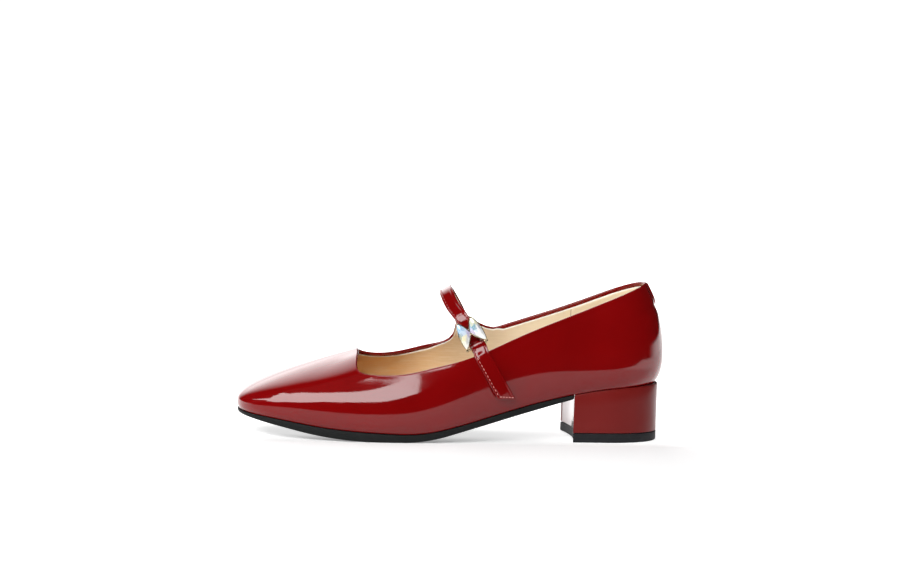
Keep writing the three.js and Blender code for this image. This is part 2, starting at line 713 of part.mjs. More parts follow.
// Two cups, and behind them a bar for each strap that stands on a post at either end.
function bowSetting() {
  const pieces = [1, -1].map((side) => {
    return toManifold(bowStack(TRAY, side)).subtract(toManifold(bowStack(WELL, side)));
  });
  for (const { b, post } of BARS) {
    pieces.push(rod(bowPoint(-post, b, -BOW.depth), bowPoint(post, b, -BOW.depth), BOW.barRadius));
    for (const a of [-post, post]) {
      pieces.push(rod(bowPoint(a, b, -BOW.depth), bowPoint(a, b, BOW.postTop), BOW.postRadius));
    }
  }
  return fromManifold(pieces.reduce((whole, piece) => whole.add(piece)));
}

// ---------------------------------------------------------------------------------------------
// The shoe

const shoe = new THREE.Group();

function place(name, geometry, finish) {
  geometry.translate(CENTRING.x, CENTRING.y, 0);
  const mesh = new THREE.Mesh(geometry, new THREE.MeshStandardMaterial(finish));
  mesh.name = name;
  shoe.add(mesh);
}

place('upper', upper(), RED_PATENT);
place('outsole', outsole(), BLACK_RUBBER);
place('insole', insole(), TAN_LINING);
place('heel_block', heelBlock(), RED_WRAP);
place('heel_top_piece', prism(heelOutline(), 0, TOP_PIECE), BLACK_RUBBER);
place('instep_strap', instepStrap(), RED_PATENT);
place('buckle_strap', buckleStrap(), RED_PATENT);
place('bow_setting', bowSetting(), PALE_GOLD);
place('crystal_heel_side', bowStack(CRYSTAL_CUT, 1), CRYSTAL);
place('crystal_toe_side', bowStack(CRYSTAL_CUT, -1), CRYSTAL);

export default shoe;
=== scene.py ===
"""Looks of a left mary jane shoe in red patent leather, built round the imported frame.

The last is worked out once, from the same named sizes as the solids, and every visible piece is a
surface over it: a turn round the footprint and an angle up the wall, or a profile along a path.
Sizes are in millimetres until a piece is made, and metres from there on.
"""

import bpy
import numpy as np
from mathutils import Matrix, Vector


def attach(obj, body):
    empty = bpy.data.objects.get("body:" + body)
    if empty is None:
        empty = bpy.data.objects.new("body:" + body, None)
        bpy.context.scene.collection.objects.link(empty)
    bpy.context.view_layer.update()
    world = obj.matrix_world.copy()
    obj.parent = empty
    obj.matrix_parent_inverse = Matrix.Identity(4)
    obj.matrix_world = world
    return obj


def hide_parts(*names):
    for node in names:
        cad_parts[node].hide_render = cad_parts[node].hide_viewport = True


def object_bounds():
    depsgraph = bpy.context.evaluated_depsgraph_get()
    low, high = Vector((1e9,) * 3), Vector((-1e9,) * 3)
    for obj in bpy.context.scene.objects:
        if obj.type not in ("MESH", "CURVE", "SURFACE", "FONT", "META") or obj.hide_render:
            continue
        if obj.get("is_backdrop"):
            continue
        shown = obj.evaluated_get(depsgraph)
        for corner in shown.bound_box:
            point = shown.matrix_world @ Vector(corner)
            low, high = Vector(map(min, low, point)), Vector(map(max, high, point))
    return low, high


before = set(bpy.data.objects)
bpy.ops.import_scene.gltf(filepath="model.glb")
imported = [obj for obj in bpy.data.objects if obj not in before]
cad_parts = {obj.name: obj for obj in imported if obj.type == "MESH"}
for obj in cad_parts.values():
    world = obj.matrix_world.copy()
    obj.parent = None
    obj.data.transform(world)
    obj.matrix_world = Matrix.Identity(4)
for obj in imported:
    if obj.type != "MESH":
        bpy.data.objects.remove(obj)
cad_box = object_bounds()

MM = 0.001

# ==== Sizes, in millimetres. X from toe to heel, Y from the lateral to the medial side, Z up.

GAP = 0.3                     # air between two pieces that touch
TOE, BACK = -124.0, 121.8     # ends of the featherline, where upper and sole meet
TOE_CAP, HEEL_CAP = (26.0, 2.5), (31.0, 2.15)   # length and power of the outline's closings
LEATHER = 1.7                 # wall of the upper
MARGIN = 9.0                  # lasting margin turned in under the insole
INSOLE = 2.4
SOLE_LIP = 0.8
BREAST, BREAST_HOLLOW = 70.4, 2.7
TOP_PIECE = 5.4
CENTRING = np.array([-0.65, 0.065, 0.0])   # brings the middle of the shoe's box over the origin

# The last in sections: x, centre line, half width and height of the featherline.
SECTIONS = np.array([
    (-124, 3.0, 25.0, 13.9), (-104, 2.2, 28.4, 11.4), (-84, 1.4, 34.0, 8.5), (-64, 0.6, 37.4, 6.4),
    (-40, -0.2, 38.6, 5.1), (-20, -1.2, 37.0, 5.3), (0, -2.6, 33.2, 9.2), (30, -4.0, 26.8, 18.0),
    (60, -2.5, 24.6, 26.0), (90, -0.5, 25.6, 31.7), (122, 0.0, 25.0, 34.1)])

# The wall round the footprint, from the toe (0) down the lateral side to the back (0.5) and home:
# turn, roll past the featherline, rise of the widest point, crown, ramp share, nose power.
WALL = np.array([
    (0.00, 1.3, 3.6, 53.5, 0.60, 0.75), (0.05, 1.5, 5.2, 53.5, 0.55, 0.80),
    (0.10, 2.1, 8.4, 54.0, 0.33, 0.95), (0.15, 2.7, 9.4, 57.0, 0.14, 1.0),
    (0.20, 3.2, 10.8, 64.0, 0.03, 1.0), (0.235, 3.3, 13.2, 73.0, 0.00, 1.0),
    (0.27, 3.3, 16.0, 85.0, 0.00, 1.0), (0.32, 3.4, 18.2, 101.0, 0.00, 1.0),
    (0.36, 3.6, 16.6, 110.0, 0.00, 1.0), (0.40, 4.0, 12.8, 113.0, 0.00, 1.0),
    (0.44, 4.4, 12.2, 114.0, 0.00, 1.0), (0.50, 4.8, 15.5, 115.0, 0.00, 1.0),
    (0.58, 4.2, 16.0, 112.0, 0.00, 1.0), (0.66, 6.5, 18.0, 118.0, 0.00, 1.0),
    (0.73, 5.5, 15.0, 96.0, 0.00, 1.0), (0.80, 3.8, 11.0, 56.0, 0.03, 1.0),
    (0.88, 2.4, 7.0, 53.5, 0.25, 1.0), (0.95, 1.5, 4.2, 53.5, 0.55, 0.80),
    (1.00, 1.3, 3.6, 53.5, 0.60, 0.75)])
START = np.radians(-62)                       # how the wall leaves the featherline
SPINE = (-40.0, 80.0, 9.0)                    # line that the wall leans towards: ends and blend
RIDGE = np.array([(-60, 6.5), (-40, 6.0), (0, 3.0), (40, 1.0), (90, 0.0)])

# The topline: x, height of the collar on the lateral and on the medial side.
COLLAR = np.array([
    (-60, 37.0, 45.2), (-45, 37.9, 44.6), (-30, 39.4, 45.5), (-15, 43.1, 48.9), (0, 47.1, 52.3),
    (15, 52.4, 56.8), (30, 59.2, 61.8), (50, 67.8, 68.6), (75, 77.9, 77.3), (100, 88.0, 87.3),
    (116, 93.8, 93.8)])
THROAT_X, THROAT_BOW, THROAT_CENTRE, THROAT_HALF, THROAT_ROUNDING = -56.8, 2.2, 3.0, 22.0, 8.0
# The ear on the medial side: x and height above the collar line.
EAR = np.array([
    (-4, 0), (-1, 0.3), (2, 1.3), (4.2, 3.6), (4.9, 6.5), (5.3, 9.6), (13.3, 11.6), (16, 8.7),
    (20, 5.2), (24, 2.3), (28, 0.3), (31, 0)])

# The sole's underside: ends of the flat tread, radius and slope up to the toe and to the shank.
TREAD_FRONT, TREAD_BACK = -45.0, -31.0
TOE_RADIUS, TOE_SLOPE, SHANK_RADIUS, SHANK_SLOPE = 224.0, 0.21, 94.0, 0.292


# ==== The last

def join(*arrays, axis=0):
    return np.concatenate(arrays, axis)


def lengths(vectors):
    """Length of every vector: the root of the sum of its squares."""
    return np.linalg.norm(vectors, axis=-1)


def unit(vectors):
    """Every vector divided by its length."""
    return vectors / lengths(vectors)[..., None]


def reaches(path):
    """Distance along a path to each of its points."""
    return join([0], np.cumsum(lengths(np.diff(path, axis=0))))


def smoothstep(low, high, value):
    """0 up to low, 1 from high, and 3 t squared minus 2 t cubed between."""
    t = np.clip((value - low) / (high - low), 0, 1)
    return t * t * (3 - 2 * t)


def spline(xs, ys):
    """Natural cubic spline through (xs, ys), held at its ends."""
    n = len(xs)
    h, slope = np.diff(xs), np.diff(ys) / np.diff(xs)
    system, load = np.eye(n), np.zeros(n)
    inner = np.arange(1, n - 1)
    system[inner, inner - 1] = h[:-1]
    system[inner, inner] = 2 * (h[:-1] + h[1:])
    system[inner, inner + 1] = h[1:]
    load[inner] = 6 * np.diff(slope)
    bend = np.linalg.solve(system, load)

    def curve(x):
        x = np.clip(x, xs[0], xs[-1])
        i = np.clip(np.searchsorted(xs, x, side="right") - 1, 0, n - 2)
        a, b, w = xs[i + 1] - x, x - xs[i], h[i]
        return ((bend[i] * a**3 + bend[i + 1] * b**3) / (6 * w)
                + (ys[i] / w - bend[i] * w / 6) * a + (ys[i + 1] / w - bend[i + 1] * w / 6) * b)
    return curve


def around(column):
    """The same for a column of WALL, which runs once round the shoe."""
    turns, rows = WALL[:, 0], WALL[:, column]
    return spline(join(turns[-4:-1] - 1, turns, turns[1:4] + 1), join(rows[-4:-1], rows, rows[1:4]))


centre, half, seat = (spline(SECTIONS[:, 0], SECTIONS[:, k]) for k in (1, 2, 3))
roll, rise, crown, ramp, nose = (around(k) for k in (1, 2, 3, 4, 5))
ridge = spline(RIDGE[:, 0], RIDGE[:, 1])
lateral_collar, medial_collar = (spline(COLLAR[:, 0], COLLAR[:, k]) for k in (1, 2))


def closing(x):
    """Share of the half width left at x: a superellipse quarter at either end of the outline."""
    front = np.clip((TOE + TOE_CAP[0] - x) / TOE_CAP[0], 0, 1)
    back = np.clip((x - BACK + HEEL_CAP[0]) / HEEL_CAP[0], 0, 1)
    return (1 - front**TOE_CAP[1])**(1 / TOE_CAP[1]) * (1 - back**HEEL_CAP[1])**(1 / HEEL_CAP[1])


EVEN = np.linspace(0, 1, 401)     # shares of the way along one side of the featherline


def feather_side(side):
    """One side of the featherline as x and y at even steps along its length."""
    x = TOE + (BACK - TOE) * (1 - np.cos(np.linspace(0, np.pi, 1601))) / 2
    path = np.stack([x, centre(x) + side * half(x) * closing(x)], -1)
    reach = reaches(path)
    return [np.interp(EVEN * reach[-1], reach, column) for column in path.T]


SIDES = {side: feather_side(side) for side in (-1, 1)}


def feather(turn):
    """The featherline at a turn from 0 to 1 round the footprint, in plan."""
    turn = turn - np.floor(turn)
    share = np.where(turn < 0.5, 2 * turn, 2 - 2 * turn)
    lateral, medial = ([np.interp(share, EVEN, column) for column in SIDES[side]] for side in (-1, 1))
    return np.stack(np.where(turn < 0.5, lateral, medial), -1)


def outward(turn):
    """The way out of the featherline in plan: its tangent turned by a right angle."""
    along = unit(feather(turn + 0.004) - feather(turn - 0.004))
    return np.stack([along[..., 1], -along[..., 0]], -1)


def spine_point(x):
    """Point of the spine that the wall at x leans to: x held softly between the spine's ends."""
    front, back, blend = SPINE
    held = front + blend * np.log1p(np.exp((x - front) / blend))
    held = back - blend * np.log1p(np.exp((back - held) / blend))
    return np.stack([held, ridge(held)], -1)


def wall(turn, angle):
    """A point of the outer wall. For a negative angle it lies on the part of an ellipse that rolls
    in to the featherline. Above that its plan is the widest point moved towards the spine by
    1 - cos(angle), and its height a mix of sin(angle) to the nose power and 1 - cos(angle)."""
    turn, angle = np.broadcast_arrays(turn, angle)
    foot, out = feather(turn), outward(turn)
    low, past, share = rise(turn) + seat(foot[..., 0]), roll(turn), ramp(turn)
    c, s, up = np.cos(angle), np.sin(angle), angle > 0
    reach = (c - np.cos(START)) / (1 - np.cos(START))
    widest = foot + out * past[..., None]
    under = foot + out * (past * reach)[..., None]
    over = widest + (spine_point(foot[..., 0]) - widest) * (1 - c)[..., None]
    lift = (1 - share) * np.maximum(s, 0)**nose(turn) + share * (1 - c)
    z = low + np.where(up, (crown(turn) - low) * lift, -rise(turn) * s / np.sin(START))
    return join(np.where(up[..., None], over, under), z[..., None], axis=-1)


def wall_normal(turn, angle, step=0.002):
    """Way out of the wall: the cross product of its two directions."""
    return unit(np.cross(wall(turn + step, angle) - wall(turn - step, angle),
                         wall(turn, angle + step) - wall(turn, angle - step)))


def opening(points, turn):
    """Positive inside the foot opening: the rounded lesser of the way behind the throat and the
    height above the collar."""
    x, y, z = np.moveaxis(points, -1, 0)
    lateral, medial = lateral_collar(x), medial_collar(x)
    height = np.where(turn > 0.5, medial + np.interp(x, EAR[:, 0], EAR[:, 1]), lateral)
    height = np.where(x < -30, lateral + (medial - lateral) * smoothstep(-14, 20, y), height)
    behind = x - THROAT_X + THROAT_BOW * ((y - THROAT_CENTRE) / THROAT_HALF)**2
    above = z - height
    return (behind + above - np.hypot(behind - above, THROAT_ROUNDING)) / 2


def topline_angle(turn):
    """Angle at which the wall first reaches the opening, by halving the first step that does."""
    angles = np.linspace(0, np.pi / 2, 481)[1:]
    inside = opening(wall(turn[None, :], angles[:, None]), turn[None, :]) >= 0
    high = angles[np.argmax(inside, axis=0)]
    low = high - angles[0]
    for _ in range(22):
        middle = (low + high) / 2
        out = opening(wall(turn, middle), turn) < 0
        low, high = np.where(out, middle, low), np.where(out, high, middle)
    return low


def angle_below(turn, top, distance, step=0.002):
    """Angle at which the wall is a distance, measured up the wall, below its angle top."""
    return top - distance * step / lengths(wall(turn, top) - wall(turn, top - step))


def turn_at(x, side):
    """Turn at which one side of the featherline reaches x."""
    share = np.interp(x, SIDES[side][0], EVEN)
    return share / 2 if side < 0 else 1 - share / 2


def quarter(x, z, side):
    """Place and normal of the wall at a given x and height on one side, behind the throat."""
    turn = turn_at(x, side)
    for _ in range(4):
        low, high = np.full(x.shape, START), np.full(x.shape, 1.2)
        for _ in range(30):
            angle = (low + high) / 2
            under = wall(turn, angle)[..., 2] < z
            low, high = np.where(under, angle, low), np.where(under, high, angle)
        turn = turn_at(feather(turn)[..., 0] + x - wall(turn, angle)[..., 0], side)
    return wall(turn, angle), wall_normal(turn, angle)


# ==== Meshes

def weld(points, faces, values):
    """Merges corners at one place, drops a face's repeated corners, and faces left with under three."""
    _, first, same = np.unique(np.round(points, 4), axis=0, return_index=True, return_inverse=True)
    corners = same.reshape(-1)[faces]
    kept = corners != np.roll(corners, 1, axis=1)
    whole = kept.sum(1) >= 3
    return points[first], corners[whole], kept[whole], whole, {k: v[first] for k, v in values.items()}


def enclosed(points, quads):
    """Six times the volume that the faces enclose, below zero where they look inwards."""
    a, b, c, d = (points[quads[:, k]] for k in range(4))
    return np.sum(np.cross(a, b) * c) + np.sum(np.cross(a, c) * d)


def make_piece(name, parts, finishes, replaces=(), values=None, crease=35):
    """One object from parts of (points, quads, finish number). A surface that would enclose less
    than nothing is turned over, so that all its faces look outwards."""
    clouds = [part[0].reshape(-1, 3) for part in parts]
    starts = np.cumsum([0] + [len(cloud) for cloud in clouds])
    faces = join(*(part[1] + start for part, start in zip(parts, starts)))
    finish_of = join(*(np.broadcast_to(part[2], len(part[1])) for part in parts))
    points, corners, kept, whole, values = weld(join(*clouds), faces, values or {})
    if enclosed(points, corners) < 0:
        corners, kept = corners[:, ::-1], kept[:, ::-1]
    loops, totals = corners[kept], kept.sum(1)
    mesh = bpy.data.meshes.new(name)
    mesh.vertices.add(len(points))
    mesh.vertices.foreach_set("co", ((points + CENTRING) * MM).astype(np.float32).ravel())
    mesh.loops.add(len(loops))
    mesh.loops.foreach_set("vertex_index", loops.astype(np.int32))
    mesh.polygons.add(len(totals))
    mesh.polygons.foreach_set("loop_start", (np.cumsum(totals) - totals).astype(np.int32))
    mesh.polygons.foreach_set("material_index", finish_of[whole].astype(np.int32))
    mesh.update(calc_edges=True)
    mesh.validate()
    mesh.shade_smooth()
    mesh.set_sharp_from_angle(angle=np.radians(crease))
    for key, column in values.items():
        mesh.attributes.new(key, "FLOAT", "POINT").data.foreach_set("value", column.astype(np.float32))
    for finish in finishes:
        mesh.materials.append(finish)
    piece = bpy.data.objects.new(name, mesh)
    bpy.context.scene.collection.objects.link(piece)
    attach(piece, "root")
    if replaces:
        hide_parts(*replaces)
    return piece


def net(rows, columns, closed=""):
    """Quads of a grid of points. closed names what joins end to start: rows, columns or both."""
    i = np.arange(rows if closed in ("rows", "both") else rows - 1)[:, None]
    j = np.arange(columns if closed in ("columns", "both") else columns - 1)[None, :]
    corner = lambda di, dj: ((i + di) % rows) * columns + (j + dj) % columns
    return np.stack([corner(0, 0), corner(0, 1), corner(1, 1), corner(1, 0)], -1).reshape(-1, 4)


def balls(places, axes, sides, stacks):
    """A ball at every place, stretched by its own three axes: points of a unit sphere, multiplied
    by the axes and moved all at once."""
    lap, fall = np.linspace(0, 2 * np.pi, sides, endpoint=False), np.linspace(0, np.pi, stacks)
    lap, fall = np.meshgrid(lap, fall, indexing="ij")
    ball = np.stack([np.cos(fall), np.sin(fall) * np.cos(lap), np.sin(fall) * np.sin(lap)], -1)
    points = places[:, None, None] + np.einsum("ijk,skl->sijl", ball, axes)
    starts = np.arange(len(places))[:, None, None] * (sides * stacks)
    return points, (net(sides, stacks, "rows") + starts).reshape(-1, 4), 0


# ==== Finishes

class Amount:
    """A number's socket: sums, differences, products and quotients of it add their Math nodes."""

    def __init__(self, finish, socket):
        self.finish, self.socket = finish, socket

    def math(self, operation, first, second):
        return self.finish.node("ShaderNodeMath", {"operation": operation}, first, second)

    def __add__(self, other):
        return self.math("ADD", self, other)

    def __sub__(self, other):
        return self.math("SUBTRACT", self, other)

    def __rsub__(self, other):
        return self.math("SUBTRACT", other, self)

    def __mul__(self, other):
        return self.math("MULTIPLY", self, other)

    def __truediv__(self, other):
        return self.math("DIVIDE", self, other)

    __radd__, __rmul__ = __add__, __mul__

    def greater(self, other):
        return self.math("MAXIMUM", self, other)

    def within(self, low, high):
        """0 up to low, 1 from high, smooth between."""
        return self.finish.node("ShaderNodeMapRange", {"interpolation_type": "SMOOTHSTEP"}, self, low, high)


class Finish:
    """A material or world whose nodes are written as expressions."""

    def __init__(self, owner):
        owner.use_nodes = True
        self.owner, self.tree = owner, owner.node_tree
        self.tree.nodes.clear()

    def node(self, kind, settings, *inputs, output=0, **named):
        """Any node: its settings, then its inputs by place or by name, and one of its outputs."""
        node = self.tree.nodes.new(kind)
        for key, value in settings.items():
            setattr(node, key, value)
        for key, value in [*enumerate(inputs), *named.items()]:
            socket = node.inputs[key.replace("_", " ") if isinstance(key, str) else key]
            if isinstance(value, Amount):
                self.tree.links.new(value.socket, socket)
            elif value is not None:
                socket.default_value = value
        return Amount(self, node.outputs[output]) if node.outputs else None

    def place(self, kind="Object"):
        """Where a point of the piece is, in metres, or the way out to a point of the world."""
        return self.node("ShaderNodeTexCoord", {}, output=kind)

    def parts(self, where):
        """The x, y and z of a place, each a number."""
        sockets = self.node("ShaderNodeSeparateXYZ", {}, where).socket.node.outputs
        return [Amount(self, socket) for socket in sockets]

    def noise(self, scale, detail=2.0, roughness=0.5, stretch=None):
        """Noise over the place, which may first be scaled differently along each axis."""
        where = self.place()
        if stretch:
            where = self.node("ShaderNodeMapping", {}, where, Scale=stretch)
        return self.node("ShaderNodeTexNoise", {}, Vector=where, Scale=scale, Detail=detail,
                         Roughness=roughness)

    def blend(self, share, low, high):
        """A colour between two others."""
        return self.node("ShaderNodeMix", {"data_type": "RGBA"}, share, *[None] * 5, low, high, output=2)

    def bump(self, height, distance, strength=1.0):
        return self.node("ShaderNodeBump", {}, Height=height, Distance=distance, Strength=strength)

    def skin(self, **sockets):
        """The whole surface as one shader with these sockets; returns the material."""
        shader = self.node("ShaderNodeBsdfPrincipled", {}, **sockets)
        self.node("ShaderNodeOutputMaterial", {}, shader)
        return self.owner


def material(name):
    return Finish(bpy.data.materials.new(name))


def red_patent():
    """Patent leather: a deep colour that darkens in slow clouds, under a clear gloss whose
    roughness drifts a little, over a faint ripple and a finer orange peel."""
    finish = material("red_patent")
    clouds = finish.noise(26.0, 3.0).within(0.3, 0.7)
    haze, smear = finish.noise(60.0, 3.0), finish.noise(1.0, 4.0, 0.6, (30.0, 110.0, 110.0))
    ripple, peel = finish.noise(75.0, 1.0), finish.noise(900.0)
    return finish.skin(
        Base_Color=finish.blend(clouds, (0.190, 0.0013, 0.0018, 1), (0.166, 0.0011, 0.0015, 1)),
        Roughness=0.028 + haze * 0.03 + smear * 0.02, IOR=1.5, Specular_IOR_Level=0.5,
        Normal=finish.bump(ripple * 0.035 + peel * 0.010, 0.001))


def heel_leather():
    """Wrap of the heel: a duller skin of the same red, with the clear gloss left on its hollow front, where a
    pale pink painted reflection is put into the colour too, and a fine grain."""
    finish = material("heel_wrap_patent")
    x, y, _ = finish.parts(finish.place())
    # The breast takes the clear coat and a pale pink colour there, which is a painted reflection.
    breast_gloss_and_sheen = (1 - x.within(0.0724, 0.0732)) * y.within(-0.0245, -0.0238) * (1 - y.within(0.0205, 0.0212))
    clouds = finish.noise(26.0, 3.0).within(0.3, 0.7)
    haze, peel = finish.noise(60.0, 3.0), finish.noise(900.0)
    tint = finish.blend(clouds, (0.168, 0.0110, 0.0095, 1), (0.148, 0.0090, 0.0080, 1))
    return finish.skin(
        Base_Color=finish.blend(breast_gloss_and_sheen, tint, (0.30, 0.16, 0.16, 1)), Roughness=0.27 + haze * 0.05, IOR=1.5,
        Specular_IOR_Level=0.16, Coat_Weight=breast_gloss_and_sheen, Coat_Roughness=0.05, Coat_IOR=1.6,
        Normal=finish.bump(haze * 0.030 + peel * 0.010, 0.001))


def lining_leather():
    """Tan lining: darker into the toe, cream at the heel, a change that partly paints the shade and light
    inside the shoe; with pale streaks that run along the shoe, the grip's dark seam, a pale rim that is
    partly a painted highlight, fine pores and a soft satin grain."""
    finish = material("tan_lining_leather")
    along, _, height = finish.parts(finish.place())
    streaks = finish.noise(1.0, 4.0, 0.7, (60.0, 420.0, 900.0))
    clouds, pores = finish.noise(45.0, 4.0, 0.6), finish.noise(1400.0, 3.0, 0.7)
    seam = along.within(0.0734, 0.0738) * (1 - along.within(0.0739, 0.0744)) * height.within(0.047, 0.052)
    rim = finish.node("ShaderNodeAttribute", {"attribute_name": "edge"}, output="Fac")
    tint = (0.96, 0.57, 0.24, 1)
    for share, colour in (
            # Along the shoe the colour is partly the lining's own and partly painted light and shade: deep
            # orange-tan in the toe, darker tan in the middle, cream at the heel.
            (along.within(-0.075, 0.030), (0.60, 0.43, 0.25, 1)),
            (along.within(-0.005, 0.065), (0.86, 0.74, 0.54, 1)),
            ((streaks * 0.6 + clouds * 0.4).within(0.35, 0.72) * 0.45, (0.92, 0.78, 0.56, 1)),
            (clouds.within(0.55, 0.8) * 0.18, (0.48, 0.28, 0.13, 1)),
            (seam * 0.6, (0.30, 0.20, 0.12, 1)),
            # Pale rim: partly the cut edge's own colour, partly a painted highlight; on the straps it covers
            # the whole lining.
            (rim.within(0.2, 0.9), (0.97, 0.93, 0.84, 1))):
        tint = finish.blend(share, tint, colour)
    return finish.skin(Base_Color=tint, Roughness=0.48 + pores * 0.2, Specular_IOR_Level=0.35,
                       Normal=finish.bump(pores * 0.5 + streaks * 0.5, 0.00025, 0.5))


def rubber(name, colour, dust):
    """Near-black rubber: fine moulded grain, slow cloudy wear, and dust where the noise is high."""
    finish = material(name)
    clouds, grain = finish.noise(55.0, 4.0, 0.6), finish.noise(2200.0, 2.0, 0.6)
    scuffs = finish.noise(1.0, 5.0, 0.65, (240.0, 60.0, 240.0)).within(0.52, 0.8) * 0.5
    return finish.skin(
        Base_Color=finish.blend(scuffs, colour, dust), Roughness=0.46 + clouds * 0.22,
        Specular_IOR_Level=0.14, Normal=finish.bump(grain + clouds * 0.5, 0.00012, 0.6))


def plated_metal():
    """Pale gold plate: bright, with brushed streaks in its roughness and darker tarnish in noise patches."""
    finish = material("pale_gold_plate")
    streaks = finish.noise(1.0, 3.0, 0.6, (400.0, 2500.0, 400.0))
    tarnish = finish.noise(300.0, 3.0, 0.6).within(0.45, 0.75)
    return finish.skin(
        Base_Color=finish.blend(tarnish, (0.78, 0.66, 0.46, 1), (0.40, 0.30, 0.16, 1)), Metallic=1.0,
        Roughness=0.16 + streaks * 0.15, Normal=finish.bump(streaks, 0.00003, 0.4))


def cut_crystal():
    """Foiled crystal, mirror smooth: each facet carries its own colour, part coating and part painted
    reflection and highlight, with finer white glints painted over it as sparkle, and a faint glow that is
    painted light."""
    finish = material("foiled_crystal")
    tint = finish.node("ShaderNodeAttribute", {"attribute_name": "tint"}, output="Color")
    sparkle = finish.noise(900.0)
    # Painted glints: where the fine noise is high the colour turns near white.
    colour = finish.blend(sparkle.within(0.50, 0.62) * 0.45, tint, (0.97, 0.98, 1.0, 1))
    # Emission makes the stones glow a little: painted light.
    return finish.skin(Base_Color=colour, Metallic=0.25, Roughness=0.03 + sparkle * 0.03, IOR=1.6,
                       Emission_Color=colour, Emission_Strength=0.10)


def sewing_thread(name, dark, light):
    """Twisted thread: fine slanting plies in height, with painted shade and highlight in colour: lighter
    where a ply stands higher.
    """
    finish = material(name)
    plies = finish.noise(1.0, 2.0, 0.5, (3000.0, 3000.0, 1500.0))
    # Painted light: the colour follows the plies' height, light on their crests and dark in their grooves.
    return finish.skin(Base_Color=finish.blend(plies.within(0.35, 0.65), dark, light), Roughness=0.42,
                       Normal=finish.bump(plies, 0.00008, 0.6))


RED, HEEL_RED, LINING = red_patent(), heel_leather(), lining_leather()
SOLE_BLACK = rubber("sole_rubber", (0.0090, 0.0100, 0.0100, 1), (0.018, 0.020, 0.020, 1))
HEEL_BLACK = rubber("heel_rubber", (0.014, 0.0145, 0.0165, 1), (0.028, 0.029, 0.031, 1))
GOLD, FOILED = plated_metal(), cut_crystal()
PALE_THREAD = sewing_thread("pale_thread", (0.50, 0.14, 0.12, 1), (0.72, 0.30, 0.27, 1))
RED_THREAD = sewing_thread("red_thread", (0.26, 0.035, 0.035, 1), (0.42, 0.09, 0.08, 1))


# ==== Upper and lining

EDGE = LEATHER / 2            # radius of the folded topline
BAND, EAR_BAND = 1.8, 0.25     # depth of the folded band inside the collar, and along the ear
LINING_WALL = 0.45
LINING_PROUD = 0.22           # how far the lining's edge stands proud of the band
GRIP_X, GRIP_WALL = 75.0, 0.3     # seam in front of the heel grip, and the grip's extra wall
SEAM_DEPTH, SEAM_HALF = 0.35, 0.55
WAVE = 0.05
PRESS, PRESS_X, PRESS_SOFT, PRESS_REACH = 0.011, -21.8, 0.6, 25.0   # flat in front of the waist
# Crease round the counter: depth, half width, height at the back, fall per mm forward, and reach.
CREASE, CREASE_HALF, CREASE_Z, CREASE_FALL, CREASE_X = 0.45, 3.2, 79.5, 0.32, (94.0, 118.0)


def column_turns():
    """Turns round the shoe: even steps, closer together along the ear and beside the back seam."""
    even = np.arange(720) / 720
    ear_x = join(np.arange(-4, 4, 0.5), np.arange(4, 5.6, 0.07), np.arange(5.6, 12.8, 0.4),
                 np.arange(12.8, 14, 0.1), np.arange(14, 31, 0.5))
    close = [np.sort(turn_at(ear_x, 1)), 0.5 + np.linspace(-0.006, 0.006, 41)]
    for turns in close:
        even = even[(even < turns[0] - 0.0007) | (even > turns[-1] + 0.0007)]
    return np.sort(join(even, *close))


def band_depths(top):
    """Depth of the folded band round the collar, that shrinks smoothly along the ear."""
    ear = smoothstep(-13, -2, top[:, 0]) * smoothstep(34, 30, top[:, 0]) * (top[:, 1] > 0)
    return BAND + (EAR_BAND - BAND) * ear


def way_across(top, normal):
    """The way across the topline: square to it and to the wall's normal, and upwards."""
    across = unit(np.cross(np.roll(top, -1, axis=0) - np.roll(top, 1, axis=0), normal))
    return across * np.sign(across[:, 2:3] + 1e-9)


TURNS = column_turns()
TOPS = topline_angle(TURNS)
TOPLINE, TOP_NORMALS = wall(TURNS, TOPS), wall_normal(TURNS, TOPS)
TOP_ACROSS, BANDS = way_across(TOPLINE, TOP_NORMALS), band_depths(TOPLINE)


def wave(points):
    """Slow unevenness of hand-lasted leather: a few sines of place, in millimetres."""
    x, y, z = np.moveaxis(points, -1, 0)
    return WAVE * (np.sin(x / 9.1 + z / 13.0) + np.sin(x / 5.7 - y / 8.3 + 1.3)
                   + 0.7 * np.sin(z / 5.1 + x / 15.0 + 0.4)) / 2.7


def press(points):
    """A flat of the last that ends on the lateral wall: past PRESS_X the skin turns away a little,
    as a soft ramp of the way along that a slow bell brings back."""
    past = PRESS_SOFT * np.log1p(np.exp(np.clip((points[..., 0] - PRESS_X) / PRESS_SOFT, -30, 30)))
    return -PRESS * past * np.exp(-(past / PRESS_REACH)**2) * (points[..., 1] < 0)


def crease(points):
    """Fold of the counter: a groove whose section is a bell, sloping down from the back."""
    x, z = points[..., 0], points[..., 2]
    off = (z - CREASE_Z + CREASE_FALL * (BACK - x)) / CREASE_HALF
    return -CREASE * np.exp(-off**2) * smoothstep(*CREASE_X, x)


def back_seam(points, turns):
    """Groove down the middle of the back, under the strip: a bell over the distance from it."""
    return -SEAM_DEPTH * np.exp(-(points[..., 1] / SEAM_HALF)**2) * (np.abs(turns - 0.5) < 0.05)


